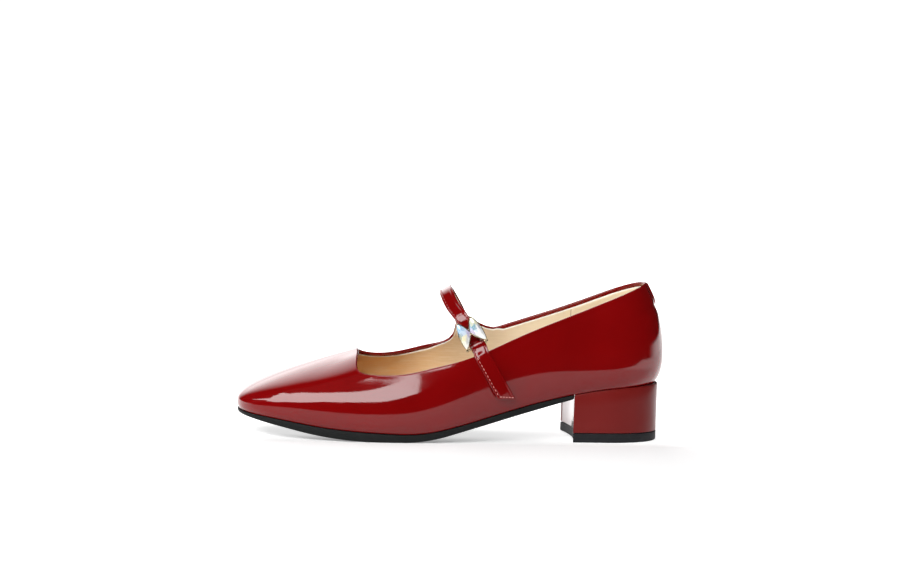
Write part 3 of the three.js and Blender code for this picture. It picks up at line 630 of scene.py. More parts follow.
def upper_shell():
    """The patent shell as rings round the shoe, closed in on itself: the turned-in margin, the
    outer wall from the featherline up, half a circle over the topline, the folded band inside it,
    and the inner wall down again."""
    last = angle_below(TURNS, TOPS, EDGE * 1.6)
    low = START * (1 - np.linspace(0, 1, 15)[:, None]**1.2)
    high = last * np.linspace(0, 1, 61)[1:, None]
    angles = join(np.broadcast_to(low, (15, len(TURNS))), high)
    outer = wall(TURNS, angles)
    fade = smoothstep(START, START * 0.4, angles) * smoothstep(0, 0.12, 1 - angles / TOPS)
    relief = (wave(outer) + press(outer) + crease(outer)) * fade + back_seam(outer, TURNS)
    outer = outer + wall_normal(TURNS, angles) * relief[..., None]

    middle = TOPLINE - TOP_ACROSS * EDGE - TOP_NORMALS * EDGE
    bend = np.linspace(0, np.pi, 11)[:, None, None]
    fold = middle + EDGE * (TOP_NORMALS * np.cos(bend) + TOP_ACROSS * np.sin(bend))
    band = fold[-1] - TOP_ACROSS * (np.array([0.33, 0.67, 0.9])[:, None, None] * BANDS[:, None])
    tuck = band[-1] - TOP_ACROSS * 0.1 + TOP_NORMALS * LINING_WALL

    down = angle_below(TURNS, TOPS, BANDS + EDGE + 0.6) * np.linspace(1, 0, 20)[:, None]
    angles = join(down, np.broadcast_to(START * np.array([[0.5], [1.0]]), (2, len(TURNS))))
    inner = wall(TURNS, angles) - wall_normal(TURNS, angles) * (LEATHER - LINING_WALL)
    foot = feather(TURNS)
    hem = foot + unit(spine_point(foot[:, 0]) - foot) * MARGIN
    under, over = (np.column_stack([hem, seat(hem[:, 0]) + lift]) for lift in (0, LEATHER - LINING_WALL))
    rings = join(under[None], outer, fold, band, tuck[None], inner, over[None])
    make_piece("upper_patent", [(rings, net(len(rings), len(TURNS), "both"), 0)], [RED],
               replaces=["upper"])


def lining_shell():
    """The lining as rings round the shoe: its rounded edge under the folded band, its inner face
    down to the insole, thicker behind the heel grip's seam, and its hidden outer face."""
    start = (TOPLINE - TOP_ACROSS * (EDGE + 0.9 * BANDS[:, None] + 0.15)
             - TOP_NORMALS * (LEATHER - LINING_WALL))
    bend = np.linspace(np.pi / 2, 0, 5)[:, None, None]
    round_edge = (start - TOP_NORMALS * (LINING_WALL + LINING_PROUD - 0.3 + 0.3 * np.cos(bend))
                  - TOP_ACROSS * (0.3 - 0.3 * np.sin(bend)))
    share = join(np.linspace(1, 0, 46), [-0.12, -0.3])[:, None]
    angles = np.where(share >= 0, angle_below(TURNS, TOPS, BANDS + EDGE + 1.2) * share, START * -share)
    face = wall(TURNS, angles)
    grip = GRIP_WALL * smoothstep(GRIP_X - 0.4, GRIP_X + 0.4, face[..., 0])
    pinch = -0.25 * np.exp(-((face[..., 0] - GRIP_X + 0.9) / 0.35)**2)
    proud = LEATHER + LINING_PROUD + grip + pinch + wave(face) * 2
    inner = face - wall_normal(TURNS, angles) * proud[..., None]
    angles = angles[::-1][::5]
    back = wall(TURNS, angles) - wall_normal(TURNS, angles) * (LEATHER - LINING_WALL + 0.02)
    rings = join(start[None], round_edge, inner, back)
    # The rounded edge's rings take the pale rim colour, partly a painted highlight along it.
    edge = np.zeros(rings.shape[:2])
    edge[:6] = 1
    make_piece("collar_lining", [(rings, net(len(rings), len(TURNS), "both"), 0)], [LINING],
               values={"edge": edge.ravel()})


def back_strip():
    """Narrow strip over the back seam, as rings over its top and back underneath: across it a flat
    top with rounded sides, down it from the folded topline to a rounded end."""
    width, start, length, proud, count = 4.6, 0.9, 14.4, 0.6, 33
    share, drop = np.linspace(-1, 1, count), np.linspace(start, length, 40)[:, None]
    angles = angle_below(0.5, topline_angle(np.array([0.5])), drop)
    taper = np.sqrt(1 - np.clip((drop - length + 3) / 3, 0, 1)**2)
    pace = lengths(wall(0.501, angles) - wall(0.499, angles)) / 0.002
    turns = 0.5 + share * width * np.maximum(taper, 0.02) / pace
    ends = np.clip(np.minimum(drop - start, length - drop) / 0.5, 0, 1)
    lift = proud * np.sqrt((1 - np.abs(share)**6) * ends)
    surface, normals = wall(turns, angles), wall_normal(turns, angles)
    surface = surface + normals * crease(surface)[..., None]
    top, low = surface + normals * lift[..., None], surface - normals * 0.25
    parts = [(join(top, low[:, ::-1], axis=1), net(len(drop), 2 * count, "columns"), 0)]
    for row, order in ((0, -1), (-1, 1)):
        parts.append((np.stack([top[row], low[row]]), net(2, count)[:, ::order], 0))
    make_piece("back_strip", parts, [RED])


# ==== Sole, insole and heel

def climb(distance, radius, slope):
    """Height of a line that leaves the ground by an arc and then runs straight."""
    arc = radius * slope
    bent = np.clip(distance, 0, arc)
    return bent**2 / (2 * radius) + slope * np.maximum(distance - arc, 0)


def tread(x):
    """Height of the sole's underside: flat at the ball, with a climb to the toe and one to the shank."""
    return climb(TREAD_FRONT - x, TOE_RADIUS, TOE_SLOPE) + climb(x - TREAD_BACK, SHANK_RADIUS, SHANK_SLOPE)


def plan(offset, start, end, rows, cuts, hollow_front, hollow_back, reach=14.0):
    """Grid over a stretch of the footprint, in plan: rows from the toe back, each straight from
    the lateral to the medial edge, and bowed back near an end that has a hollow."""
    edges = []
    for side in (-1, 1):
        first = (0.0 if side < 0 else 1.0) if start <= TOE else turn_at(start, side)
        last = 0.5 if end >= BACK else turn_at(end, side)
        share = np.linspace(0, 1, rows + 1)**(1.35 if start <= TOE else 1)
        turns = np.clip(first + (last - first) * share, 0, 1 - 1e-9)
        foot = feather(turns)
        edges.append((foot + outward(turns) * offset(foot[:, :1]))[:, None])
    t = np.linspace(0, 1, cuts + 1)
    grid = edges[0] + (edges[1] - edges[0]) * t[:, None]
    x = grid[:, :1, 0].copy()
    for hollow, away in ((hollow_back, x[-1] - x), (hollow_front, x - x[0])):
        grid[..., 0] += hollow * (1 - (2 * t - 1)**2) * np.clip(1 - away / reach, 0, 1)**2
    return grid


def block(levels, rows, cuts, start, end, offset, under, over, front=0.0, back=0.0, relief=None):
    """A block over the footprint. Each level is an inset of its outline and a height: a share of
    the way from the under to the over curve, plus millimetres. The lowest and highest are closed.
    front and back are the depths of a hollow at either end, and relief lifts the lowest."""
    grids = []
    for inset, share, lift in levels:
        grid = plan(lambda x: offset(x) - inset, start + inset * (start > TOE), end - inset * (end < BACK),
                    rows, cuts, front, back)
        x = grid[..., 0]
        height = under(x) * (1 - share) + over(x) * share + lift
        grids.append(np.concatenate([grid, height[..., None]], -1))
    rings = np.stack([join(g[:, 0], g[-1, 1:], g[-2::-1, -1], g[0, -2:0:-1]) for g in grids])
    if relief:
        grids[0][..., 2] += relief(grids[0])
    faces = net(rows + 1, cuts + 1)
    return [(grids[0], faces, 0), (rings, net(*rings.shape[:2], "columns"), 0),
            (grids[-1], faces[:, ::-1], 0)]


def ribs(points):
    """Moulded ribs under the ball: grooves across the sole, fading out 6 mm inside its edge."""
    x, y = points[..., 0], points[..., 1]
    inside = (y[:, -1:] - y[:, :1]) / 2 - np.abs(y - (y[:, -1:] + y[:, :1]) / 2)
    field = smoothstep(6.0, 7.0, inside) * smoothstep(-101, -99, x) * smoothstep(2, 0, x)
    return 0.55 * field * smoothstep(-0.1, 0.5, np.sin(2 * np.pi * x / 4.2 + np.pi / 2 - 0.05 * y**2 / 4))


def outsole():
    """Thin rubber sole: flat underfoot with rounded lower and upper corners along its edge."""
    levels = [(1.1, 0, 0), (0.45, 0, 0.1), (0.12, 0, 0.42), (0, 0, 1.0), (0, 0.5, 0), (0, 1, -0.55),
              (0.1, 1, -0.18), (0.45, 1, 0)]
    parts = block(levels, 420, 44, TOE, BREAST - GAP, lambda x: SOLE_LIP, tread,
                  lambda x: seat(x) - GAP, back=BREAST_HOLLOW, relief=ribs)
    make_piece("rubber_outsole", parts, [SOLE_BLACK], replaces=["outsole"])


def insole_sock():
    """Leather sock over the insole board: a shallow dish with rounded edges."""
    clear, dish, fade = LEATHER + GAP, 0.7, 12
    levels = [(0.3, 0, 0), (0, 0, 0.3), (0, 1, -0.6), (0.2, 1, -0.15), (0.6, 1, 0)]
    parts = block(levels, 160, 40, TOE, BACK, lambda x: -clear, lambda x: seat(x) + clear,
                  lambda x: seat(x) + clear + INSOLE)
    top = parts[2][0]
    x, across = top[..., 0], np.linspace(-1, 1, top.shape[1])
    top[..., 2] -= dish * (1 - across**2) * smoothstep(0, fade, x - TOE) * smoothstep(0, fade, BACK - x)
    make_piece("insole_sock", parts, [LINING], replaces=["insole"])


def heel_flare(x):
    """How far the heel stands out past the featherline: fuller round the back."""
    return 0.4 + 1.6 * smoothstep(100, 120, x)


def heel():
    """Leather-wrapped block with a hollow front, and the rubber top piece under it."""
    wrap = [(0.5, 0, 0), (0.15, 0, 0.12), (0, 0, 0.5), (0, 0.33, 0), (0, 0.66, 0), (0, 1, -0.7),
            (0.2, 1, -0.2), (0.7, 1, 0)]
    rubber_levels = [(0.9, 0, 0), (0.3, 0, 0.12), (0, 0, 0.7), (0, 1, -0.3), (0.25, 1, 0)]
    for name, levels, under, over, slot, finish, node in (
            ("wrapped_heel", wrap, TOP_PIECE + GAP, lambda x: seat(x) - GAP, "heel_wrap", HEEL_RED,
             "heel_block"),
            ("rubber_top_piece", rubber_levels, 0, lambda x: TOP_PIECE, "black_rubber", HEEL_BLACK,
             "heel_top_piece")):
        parts = block(levels, 90, 30, BREAST, BACK, heel_flare, lambda x: under + 0 * x, over,
                      front=BREAST_HOLLOW)
        make_piece(name, parts, [finish], replaces=[node])


# ==== Straps

STRAP_WIDTH, STRAP_WALL, STRAP_SLACK, STRAP_LEAD = 8.0, 1.6, 0.9, 3.0
STRAP_X, STRAP_Z, STRAP_Y, STRAP_LEAN, STRAP_SKEW = 12.8, 54.0, -30.0, 0.57, 0.055
ANCHOR_Y, ANCHOR_HEIGHTS = 24.0, np.array([51.0, 57.5, 64.0])
# The strap's way over the instep: y, z and how far it sways to the toe.
ARCH = np.array([(21.6, 71.5, 0), (16.8, 79, 0), (8.6, 84.6, -0.2), (-0.8, 86.3, -0.6),
                 (-10.8, 84.4, -1.2), (-20.0, 78, -1.6)])
TAIL_WIDTH, TAIL_ASIDE, TAIL_LIFT = 9.0, 0.6, 2.0     # the free end stands off the wall
TAIL_TOE_EDGE, TAIL_HEEL_EDGE = (10.1, 49.0, 12.8, -21.8), (18.0, 53.4, 15.8, -26.8)
BOW_Y, BOW_Z, BOW_DEPTH, BAR_RADIUS = -29.7, 62.5, 4.3, 0.8
UPPER_BAR, LOWER_BAR = (-6.6, 5.15), (7.2, 6.4)      # place down the strap, and post either side
UPPER_TUCK, LOWER_TUCK = 5.0, 2.5
KEEPER, KEEPER_DEPTH, KEEPER_WIDTH = (-3.2, 4.6), 4.6, 7.0
STITCH_INSET, STITCH_PITCH, STITCH_LENGTH = 1.3, 2.5, 1.45
THREAD_WIDE, THREAD_HIGH = 0.26, 0.22     # half the width and height of a stitch


def strap_x(y, z):
    """x of the strap's middle: it leans back as it falls, and is skewed a little across."""
    return STRAP_X - STRAP_LEAN * (z - STRAP_Z) + STRAP_SKEW * (y - STRAP_Y)


ACROSS = unit(np.array([1, 0, STRAP_LEAN]))
DOWN = unit(np.array([STRAP_LEAN, -0.237, -1]))
FACE = unit(np.cross(DOWN, ACROSS))
BOW_CENTRE = np.array([strap_x(BOW_Y, BOW_Z), BOW_Y, BOW_Z]) + FACE * BOW_DEPTH


def bow_point(a, b, level):
    """A place in the bow's frame: a across the strap, b down it, level out of its face."""
    a, b, level = (np.asarray(value, float)[..., None] for value in (a, b, level))
    return BOW_CENTRE + a * ACROSS + b * DOWN + level * FACE


def smooth_path(points, count):
    """A natural spline through points by the distance along them, sampled evenly."""
    reach = reaches(points)
    even = np.linspace(0, reach[-1], count + 1)
    return np.stack([spline(reach, column)(even) for column in points.T], -1)


def wrap_rows(bar, first, last, aside):
    """Middle and normal of a strap round a bar, between two angles about it: 0 is the bow's outer
    face and a quarter turn is down the strap."""
    angle = np.linspace(first, last, 29)[:, None]
    normal = FACE * np.cos(angle) + DOWN * np.sin(angle)
    return bow_point(aside, bar[0], -BOW_DEPTH) + normal * (BAR_RADIUS + GAP + STRAP_WALL / 2), normal


def strap_section(width, corner=0.45):
    """Section of a strap, across it and out of its face: a round corner at the heel-side edge, the
    outer face, which dips where it is stitched, the toe-side corners and the lined inner face."""
    side, top = width / 2 - corner, STRAP_WALL / 2 - corner
    bend = np.linspace(0, np.pi / 2, 5)
    right, left, low_left, low_right = (
        np.stack([x + corner * np.cos(turn + bend), z + corner * np.sin(turn + bend)])
        for x, z, turn in ((side, top, 0), (-side, top, np.pi / 2), (-side, -top, np.pi),
                           (side, -top, -np.pi / 2)))
    face = np.linspace(side, -side, 23)[1:-1]
    dip = -0.16 * np.exp(-((width / 2 - np.abs(face) - STITCH_INSET) / 0.35)**2)
    inner = np.linspace(1 - width / 2, width / 2 - 1, 15)
    return join(right, [face, STRAP_WALL / 2 + dip], left, low_left[:, 1:],
                [inner, np.full(15, 0.12 - STRAP_WALL / 2)], low_right[:, :-1], axis=1)


LINED = slice(35, 49)     # the section's steps over its inner face


def band(name, middle, normal, across, width, replaces=()):
    """A strap from its rows: the section at each, stretched to the row's width, joined along the
    rows and closed at both ends."""
    a, out = strap_section(width[0])
    rings = (middle[:, None] + across[:, None] * (a * (width / width[0])[:, None])[..., None]
             + normal[:, None] * out[:, None])
    rows, columns = rings.shape[:2]
    lined = np.zeros((rows - 1, columns), int)
    lined[:, LINED] = 1
    parts = [(rings, net(rows, columns, "columns"), lined.ravel())]
    corner = np.arange(columns)
    fan = np.stack([np.full(columns, columns), np.roll(corner, -1), corner, corner], -1)
    for row, order in ((0, 1), (-1, -1)):
        parts.append((join(rings[row], rings[row].mean(0)[None]), fan[:, ::order], 0))
    # Every point is marked for the pale rim colour, a painted highlight that makes the strap's whole lining
    # near white.
    count = sum(part[0].reshape(-1, 3).shape[0] for part in parts)
    make_piece(name, parts, [RED, LINING], replaces=replaces, values={"edge": np.ones(count)})


def stitches(name, places, along, normal, thread):
    """Sewing thread as short rounded stitches, each a small ellipsoid with its ends sunk."""
    axes = np.stack([along * STITCH_LENGTH / 2, np.cross(normal, along) * THREAD_WIDE,
                     normal * THREAD_HIGH], 1)
    make_piece(name, [balls(places, axes, 8, 6)], [thread])


def stitch_rows(middle, normal, across, width, first, last):
    """Places for stitches along a strap's toe-side edge, between two distances along it."""
    reach = reaches(middle)
    at = np.arange(first, min(last, reach[-1]), STITCH_PITCH)
    pick = lambda rows: np.stack([np.interp(at, reach, column) for column in rows.T], -1)
    edge = middle - across * (width[:, None] / 2 - STITCH_INSET) + normal * (STRAP_WALL / 2 - 0.02)
    return pick(edge), unit(pick(np.gradient(edge, axis=0))), unit(pick(normal))


def instep_strap():
    """The strap from inside the medial ear, over the instep and round the bow's upper bar."""
    place, out = quarter(strap_x(ANCHOR_Y, ANCHOR_HEIGHTS), ANCHOR_HEIGHTS, 1)
    y, z, sway = ARCH.T
    arch = np.stack([strap_x(y, z) + sway, y, z], -1)
    loop, loop_normal = wrap_rows(UPPER_BAR, 0, np.pi, 0)
    anchor = place - out * (LEATHER + STRAP_SLACK + STRAP_WALL / 2)
    path = smooth_path(join(anchor, arch, loop[:1] - DOWN * STRAP_LEAD, loop[:1]), 170)[:-1]
    normal = unit(np.cross(np.gradient(path, axis=0), ACROSS))
    middle = join(path, loop, loop[-1:] - DOWN * UPPER_TUCK)
    rows = [middle, join(normal, loop_normal, loop_normal[-1:]), np.broadcast_to(ACROSS, middle.shape),
            np.full(len(middle), STRAP_WIDTH)]
    band("instep_strap_patent", *rows, ["instep_strap"])
    sewn = stitch_rows(*(row[:len(path)] for row in rows), 22, 400)
    stitches("instep_strap_stitches", *sewn, RED_THREAD)


def tail_strap():
    """The tail: round the bow's lower bar, then down the lateral quarter, square to the wall."""
    loop, loop_normal = wrap_rows(LOWER_BAR, -np.pi, 0, TAIL_ASIDE)
    t, lift = np.linspace(0, 1, 60), GAP + STRAP_WALL / 2
    edges = [np.stack([x + run * t, z + fall * t]) for x, z, run, fall in (TAIL_TOE_EDGE, TAIL_HEEL_EDGE)]
    toe_side, heel_side = (place + out * lift for place, out in (quarter(*edge, -1) for edge in edges))
    core, core_out = quarter(*(edges[0] + edges[1]) / 2, -1)
    middle = core + core_out * (lift + 0.12 + TAIL_LIFT * t[:, None]**1.5)
    width, across = lengths(heel_side - toe_side), unit(heel_side - toe_side)
    normal = unit(np.cross(np.gradient(middle, axis=0), across))
    normal *= np.sign(np.sum(normal * core_out, axis=1, keepdims=True))

    lead = (loop[-1] + DOWN * 2.2)[None]
    bridge = smooth_path(join(loop[-1:], lead, middle[1:4:2]), 14)[1:-1]
    share = np.linspace(0, 1, len(bridge) + 2)[1:-1, None]
    round_bar = np.ones((1 + len(loop), 1))
    rows = [join(loop[:1] + DOWN * LOWER_TUCK, loop, bridge, middle[3:]),
            join(loop_normal[:1], loop_normal, unit(FACE * (1 - share) + normal[1] * share), normal[3:]),
            join(ACROSS * round_bar, unit(ACROSS * (1 - share) + across[1] * share), across[3:]),
            join(TAIL_WIDTH * round_bar[:, 0], TAIL_WIDTH + (width[1] - TAIL_WIDTH) * share[:, 0], width[3:])]
    band("tail_patent", *rows, ["buckle_strap"])

    rows = [row[len(loop) + 5:] for row in rows]
    sewn = stitch_rows(*rows, 2, reaches(rows[0])[-1] - 1.6)
    spots = np.arange(-3.0, 4.3, STITCH_PITCH * 0.72)[:, None]
    end = (middle[-1] + unit(middle[-2] - middle[-1]) * STITCH_INSET + across[-1] * spots
           + normal[-1] * (STRAP_WALL / 2 - 0.02))
    along_end, out_end = (np.broadcast_to(axis, end.shape) for axis in (across[-1], normal[-1]))
    stitches("tail_stitches", *(join(*pair) for pair in zip(sewn, (end, along_end, out_end))), PALE_THREAD)


def keeper_ply():
    """The ply of strap leather that lies behind the stones from one bar to the other: a flat band
    that runs down the bow's frame."""
    middle = bow_point(0.3, np.linspace(*KEEPER, 24), -KEEPER_DEPTH)
    rows = (np.broadcast_to(axis, middle.shape) for axis in (FACE, ACROSS))
    band("keeper_ply", middle, *rows, np.full(len(middle), KEEPER_WIDTH))


# ==== Bow

TOP_TIP, FOOT_TIP = np.array([4.4, -8.8]), np.array([6.2, 6.3])
CRYSTAL_INSET, INNER_BULGE, OUTER_BULGE, ROUND_SHARE = 1.0, 5.2, 1.5, 0.35


def stone_outline(side, turns, level, share=1.0, grow=0.0):
    """Outline from tip to tip and back, at a level of the bow: a flat bulge outside, and inside
    one that is part round and part straight-sided with a corner; scaled and grown from its middle.
    side is 1 towards the heel and -1 towards the toe."""
    t = ((1 - np.cos(turns)) / 2)[:, None]
    inner = INNER_BULGE * (ROUND_SHARE * np.sin(turns) + (1 - ROUND_SHARE) * (1 - np.abs(2 * t[:, 0] - 1)))
    place = TOP_TIP + (FOOT_TIP - TOP_TIP) * t
    place[:, 0] -= np.where(np.sin(turns) >= 0, inner, OUTER_BULGE * np.sin(turns))
    core = (TOP_TIP + FOOT_TIP) / 2 - np.array([CRYSTAL_INSET, 0])
    away = place - core
    a, b = (core + away * (share + grow / lengths(away)[:, None])).T
    return bow_point(side * a, b, level)


# Colours about places on the stones, per side: across and down the strap, reach, and colour. They are part
# coating colour and part painted reflection; the white ones are painted highlights.
COATING_AND_PAINTED_REFLECTIONS = {
    1: [(4.5, -7, 3.5, (0.90, 0.87, 0.62)), (2.6, -3.4, 2.0, (0.16, 0.42, 0.55)),
        (0.8, -1.5, 1.8, (0.56, 0.47, 0.66)), (5.0, 0.5, 3.2, (1.0, 1.0, 1.0)),
        (6.6, -1.5, 1.4, (0.50, 0.50, 0.62)), (3.6, 3.2, 2.4, (0.95, 0.96, 0.90)),
        (3.9, -0.2, 1.4, (0.70, 0.84, 0.95))],
    -1: [(-5.4, -5.5, 2.6, (0.30, 0.52, 0.78)), (-3.8, -3.5, 1.8, (0.70, 0.84, 0.98)),
         (-6.4, -2.5, 1.6, (0.12, 0.30, 0.42)), (-5.4, 0.5, 2.4, (0.93, 0.86, 0.52)),
         (-1.6, -1.2, 1.8, (0.55, 0.50, 0.68)), (-4.8, 4.5, 2.6, (0.98, 0.95, 0.84)),
         (-3.0, 1.6, 1.6, (0.88, 0.90, 0.96))]}


def facet_coating_and_reflection(places, side):
    """Colour of each facet by its place, part coating and part painted reflection: the mean of the named
    places, each weighted by a bell of the distance to it; painted shade makes it dark at the girdle."""
    a, b, level = ((places - BOW_CENTRE) @ axis for axis in (ACROSS, DOWN, FACE))
    weight = np.stack([np.exp(-((a - x)**2 + (b - y)**2) / (0.55 * reach)**2) + 1e-6
                       for x, y, reach, _ in COATING_AND_PAINTED_REFLECTIONS[side]], -1)
    tint = weight @ np.array([colour for *_, colour in COATING_AND_PAINTED_REFLECTIONS[side]]) / weight.sum(1, keepdims=True)
    # Painted shade: girdle facets are darkened to stand for the setting's shadow round the stone.
    tint *= (0.12 + 0.88 * smoothstep(1.2, 1.6, level))[:, None]
    return join(tint, np.ones((len(tint), 1)), axis=1)


def crystal(side, name, node):
    """Cut stone: a table of eight, eight star and eight kite facets, sixteen girdle facets above a
    thin girdle, and a shallow back."""
    j, i = np.arange(16), np.arange(8)
    rings = [stone_outline(side, turns * np.pi / 8, level, share) for turns, share, level in (
        (2 * i, 0.5, 3.1), (2 * i + 1, 0.78, 2.45), (j, 1.0, 1.5), (j, 1.0, 1.1), (j, 0.8, 0.3))]
    points = join(*rings, rings[0].mean(0)[None], rings[-1].mean(0)[None])
    star, girdle, belt, back, middle, tip = 8, 16, 32, 48, 64, 65     # first corner of each ring
    after, before, beside = (i + 1) % 8, (i - 1) % 8, (j + 1) % 16
    facets = [
        (middle, after, i, i), (i, after, star + i, star + i), (i, star + i, girdle + 2 * i, star + before),
        (star + i, girdle + 2 * i + 1, girdle + 2 * i, girdle + 2 * i),
        (star + i, girdle + 2 * after, girdle + 2 * i + 1, girdle + 2 * i + 1),
        (girdle + j, girdle + beside, belt + beside, belt + j),
        (belt + j, belt + beside, back + beside, back + j), (back + j, back + beside, tip, tip)]
    faces = join(*(np.stack(np.broadcast_arrays(*corners), -1) for corners in facets))
    piece = make_piece(name, [(points, faces, 0)], [FOILED], replaces=[node], crease=2)
    centres = np.zeros(len(piece.data.polygons) * 3)
    piece.data.polygons.foreach_get("center", centres)
    # Each facet's colour: part coating, part painted reflection, with painted shade at the girdle.
    tint = facet_coating_and_reflection(centres.reshape(-1, 3) / MM - CENTRING, side)
    piece.data.attributes.new("tint", "FLOAT_COLOR", "FACE").data.foreach_set("color", tint.ravel())


def rod(start, end, radius, sides=20):
    """A round bar between two places with domed ends: its radius follows a quarter circle there."""
    length, way = lengths(end - start), unit(end - start)
    side = unit(np.cross(way, FACE if abs(way @ FACE) < 0.9 else ACROSS))
    dome = np.linspace(0, np.pi / 2, 6)
    along = join(-radius * 0.4 * np.cos(dome), length + radius * 0.4 * np.sin(dome))
    wide = radius * join(np.sin(dome), np.cos(dome))
    turns = np.linspace(0, 2 * np.pi, sides, endpoint=False)[:, None]
    circle = np.cos(turns) * side + np.sin(turns) * np.cross(way, side)
    return start + way * along[:, None, None] + circle * wide[:, None, None], net(12, sides, "columns"), 0


def cup(side):
    """The cup of one stone: its section runs up the outside, over a rounded lip, down the well and
    across the floor, carried round the stone's outline. Rows are share, growth and level."""
    turns = np.linspace(0, 2 * np.pi, 96, endpoint=False)
    section = [(1, 0.15, -1.3), (1, 0.5, -1.15), (1, 0.62, -0.8), (1, 0.65, 0.6), (1, 0.63, 1.15),
               (1, 0.5, 1.42), (1, 0.32, 1.5), (1, 0.16, 1.38), (1, 0.12, 1.1), (1, 0.12, 0.1),
               (0.5, 0, 0.05), (0.02, 0, 0.05), (0.02, 0, -1.3), (0.5, 0, -1.3)]
    rings = np.stack([stone_outline(side, turns, level, share, grow) for share, grow, level in section])
    return rings, net(len(rings), 96, "both"), 0


def claws(side):
    """Small claws over the lip at both tips and half way round: balls on the outline."""
    places = stone_outline(side, np.array([0.0, 0.55, 1.05, 1.5]) * np.pi, 1.35, 1.0, 0.25)
    axes = np.broadcast_to(np.stack([FACE, ACROSS, DOWN]) * 0.5, (len(places), 3, 3))
    return balls(places, axes, 12, 8)


def outward_part(part):
    """The part with its faces turned so that it encloses more than nothing."""
    points, faces, finish = part
    cloud = points.reshape(-1, 3)
    order = 1 if enclosed(cloud - cloud.mean(0), faces) > 0 else -1
    return points, faces[:, ::order], finish


def bow():
    """The setting with its cups, claws, bars and posts, and the two stones."""
    parts = [make(side) for side in (1, -1) for make in (cup, claws)]
    for b, post in (UPPER_BAR, LOWER_BAR):
        foot, far = bow_point(post, b, -BOW_DEPTH), bow_point(-post, b, -BOW_DEPTH)
        reach = FACE * (BOW_DEPTH - 0.9)
        parts += [rod(foot, foot + reach, 0.75), rod(far, far + reach, 0.75), rod(far, foot, BAR_RADIUS)]
    make_piece("bow_cups_and_bars", [outward_part(part) for part in parts], [GOLD],
               replaces=["bow_setting"])
    crystal(1, "crystal_to_heel", "crystal_heel_side")
    crystal(-1, "crystal_to_toe", "crystal_toe_side")


# ==== Studio

TARGET = np.array([-1.8, 0.0, 86.9])
DISTANCE, LENS = 1700.0, 115.4
AZIMUTH, ELEVATION, ROLL = np.radians([-6.45, 5.31, 1.84])
FLOOR_X, FLOOR_Y = (-0.60, 0.75), (-0.33, 4.5)     # metres


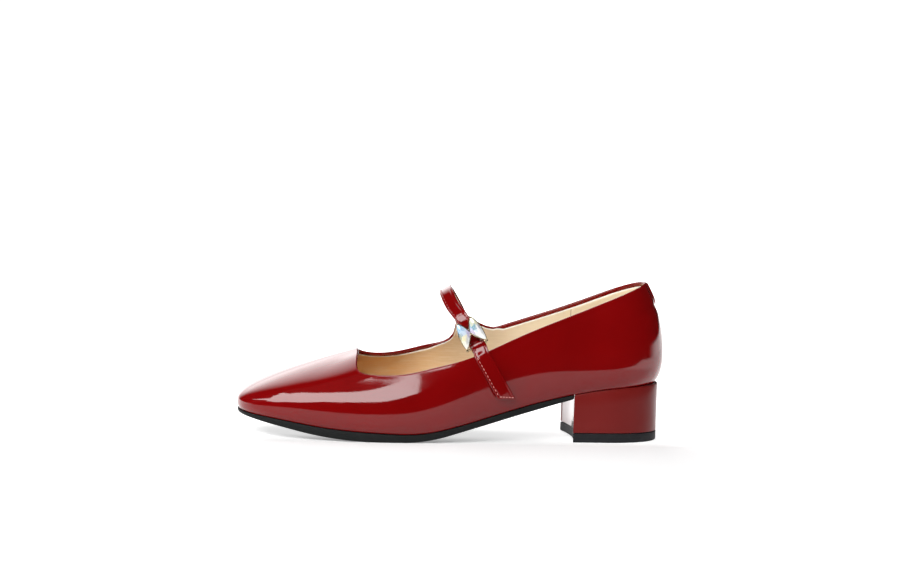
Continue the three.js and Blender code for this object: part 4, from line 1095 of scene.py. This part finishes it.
def studio_floor():
    """A pale sweep at ground height that ends in front of the shoe. It glows as painted light: faint in
    front, rising under the shoe to lift its shadows, and brighter behind and beside.
    """
    x, y = np.meshgrid(np.linspace(*FLOOR_X, 13), np.linspace(*FLOOR_Y, 9), indexing="ij")
    mesh = bpy.data.meshes.new("studio_floor")
    points = np.stack([x, y, 0 * x], -1).reshape(-1, 3)
    mesh.from_pydata(points.tolist(), [], net(13, 9)[:, ::-1].tolist())
    floor = bpy.data.objects.new("studio_floor", mesh)
    bpy.context.scene.collection.objects.link(floor)
    finish = material("pale_floor")
    x, y, _ = finish.parts(finish.place())
    # Painted light: the floor's glow, weakest in front, stronger from under the shoe, where it lifts the
    # shadows, and strongest behind.
    near = 0.20 + y.within(-0.040, -0.005) * 0.45 + y.within(0.0, 0.09) * 0.47
    far = near.greater(x.within(0.17, 0.34))
    mottle = finish.noise(3.0).within(0.3, 0.7)
    mesh.materials.append(finish.skin(
        Base_Color=finish.blend(mottle, (0.74, 0.74, 0.74, 1), (0.75, 0.75, 0.75, 1)), Roughness=0.9,
        Specular_IOR_Level=0.0, Emission_Color=finish.blend(far, (0, 0, 0, 1), (1, 1, 1, 1)),
        Emission_Strength=1.1))
    floor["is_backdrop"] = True


def studio_light():
    """Soft light from all round. What shines in the leather is a dim room with a softbox above and
    in front, in two leaning parts with a narrow arm to the toe, a pale screen above and behind,
    and white beyond for the camera. x and y are where a direction meets a ceiling one unit up."""
    world = bpy.data.worlds.new("studio")
    bpy.context.scene.world = world
    finish = Finish(world)
    dx, dy, dz = finish.parts(finish.place("Generated"))
    up = dz.greater(0.02)
    x, y = dx / up, dy / up

    def panel(*edges):
        """1 where a x + b y + c is above zero for every edge (a, b, c), with soft borders."""
        inside = 1
        for a, b, c in edges:
            size = float(np.hypot(a, b))
            inside = (x * (a / size) + y * (b / size) + c / size).within(-0.006, 0.006) * inside
        return inside

    heelward, far, toeward = (-1, -0.2335, -0.367), (0, 1, 2.75), (1, 0.142, 0.315)
    slant = (1.87, 1, 3.06)
    front = panel(toeward, heelward, far, (0, -1, -0.95))
    for part in (panel(toeward, (-1, -0.159, -0.284), (0, 1, 1.05), (0, -1, -0.36)),
                 panel((-2.55, -1, -1.666), (-0.93, -1, -0.82), slant, (1, 0, 0.7), far, heelward),
                 panel((-0.82, -1, -1.16), slant, far, heelward),
                 panel((0.768, -1, 0.297), (0, 1, 1.62), (1, 0, 1.55), (-1, 0, -0.5))):
        front = front.greater(part)
    screen = (y.within(0.0, 0.35) * ((x + y * 0.7 + 0.2) / (y * 0.58 + 0.1)).within(0.0, 1.0)
              * (1 - y.within(2.0, 5.0) * 0.45) * (1 - (x - y * 0.05).within(-0.1, 0.1)))
    gap = panel((-1, 0, -0.2), (0, 1, 1.0), (0, -1, 0.0))
    above = dz.within(0.0, 0.03)
    glow = (0.02 + gap * 0.08 + front * 8.7 + screen * 3.4) * above
    glow = glow + (1 - above) * (0.03 + dy.within(-0.2, 0.25) * 2.3)
    seen = finish.node("ShaderNodeLightPath", {}, output="Is Camera Ray")
    strength = glow * (1 - seen) + seen * 1.1
    background = finish.node("ShaderNodeBackground", {}, (1, 1, 1, 1), strength)
    finish.node("ShaderNodeOutputWorld", {}, background)


def studio_camera():
    """The camera looks back along its azimuth and elevation to the target, and is rolled about
    that line."""
    flat = np.cos(ELEVATION)
    back = np.array([np.sin(AZIMUTH) * flat, -np.cos(AZIMUTH) * flat, np.sin(ELEVATION)])
    right = unit(np.cross(-back, [0, 0, 1]))
    up = np.cross(right, -back)
    c, s = np.cos(ROLL), np.sin(ROLL)
    matrix = np.eye(4)
    matrix[:3] = np.stack([c * right + s * up, c * up - s * right, back,
                           (TARGET + CENTRING + DISTANCE * back) * MM], -1)
    camera = bpy.data.objects.new("camera", bpy.data.cameras.new("camera"))
    camera.data.lens = LENS
    camera.data.clip_end = 100.0
    camera.matrix_world = Matrix(matrix.tolist())
    bpy.context.scene.collection.objects.link(camera)
    bpy.context.scene.camera = camera


for make in (upper_shell, lining_shell, back_strip, outsole, insole_sock, heel, instep_strap, tail_strap,
             keeper_ply, bow, studio_floor, studio_light, studio_camera):
    make()
bpy.context.scene.view_settings.view_transform = "Standard"

visual_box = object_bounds()
({"cad": [list(map(float, corner)) for corner in cad_box],
           "visual": [list(map(float, corner)) for corner in visual_box]})
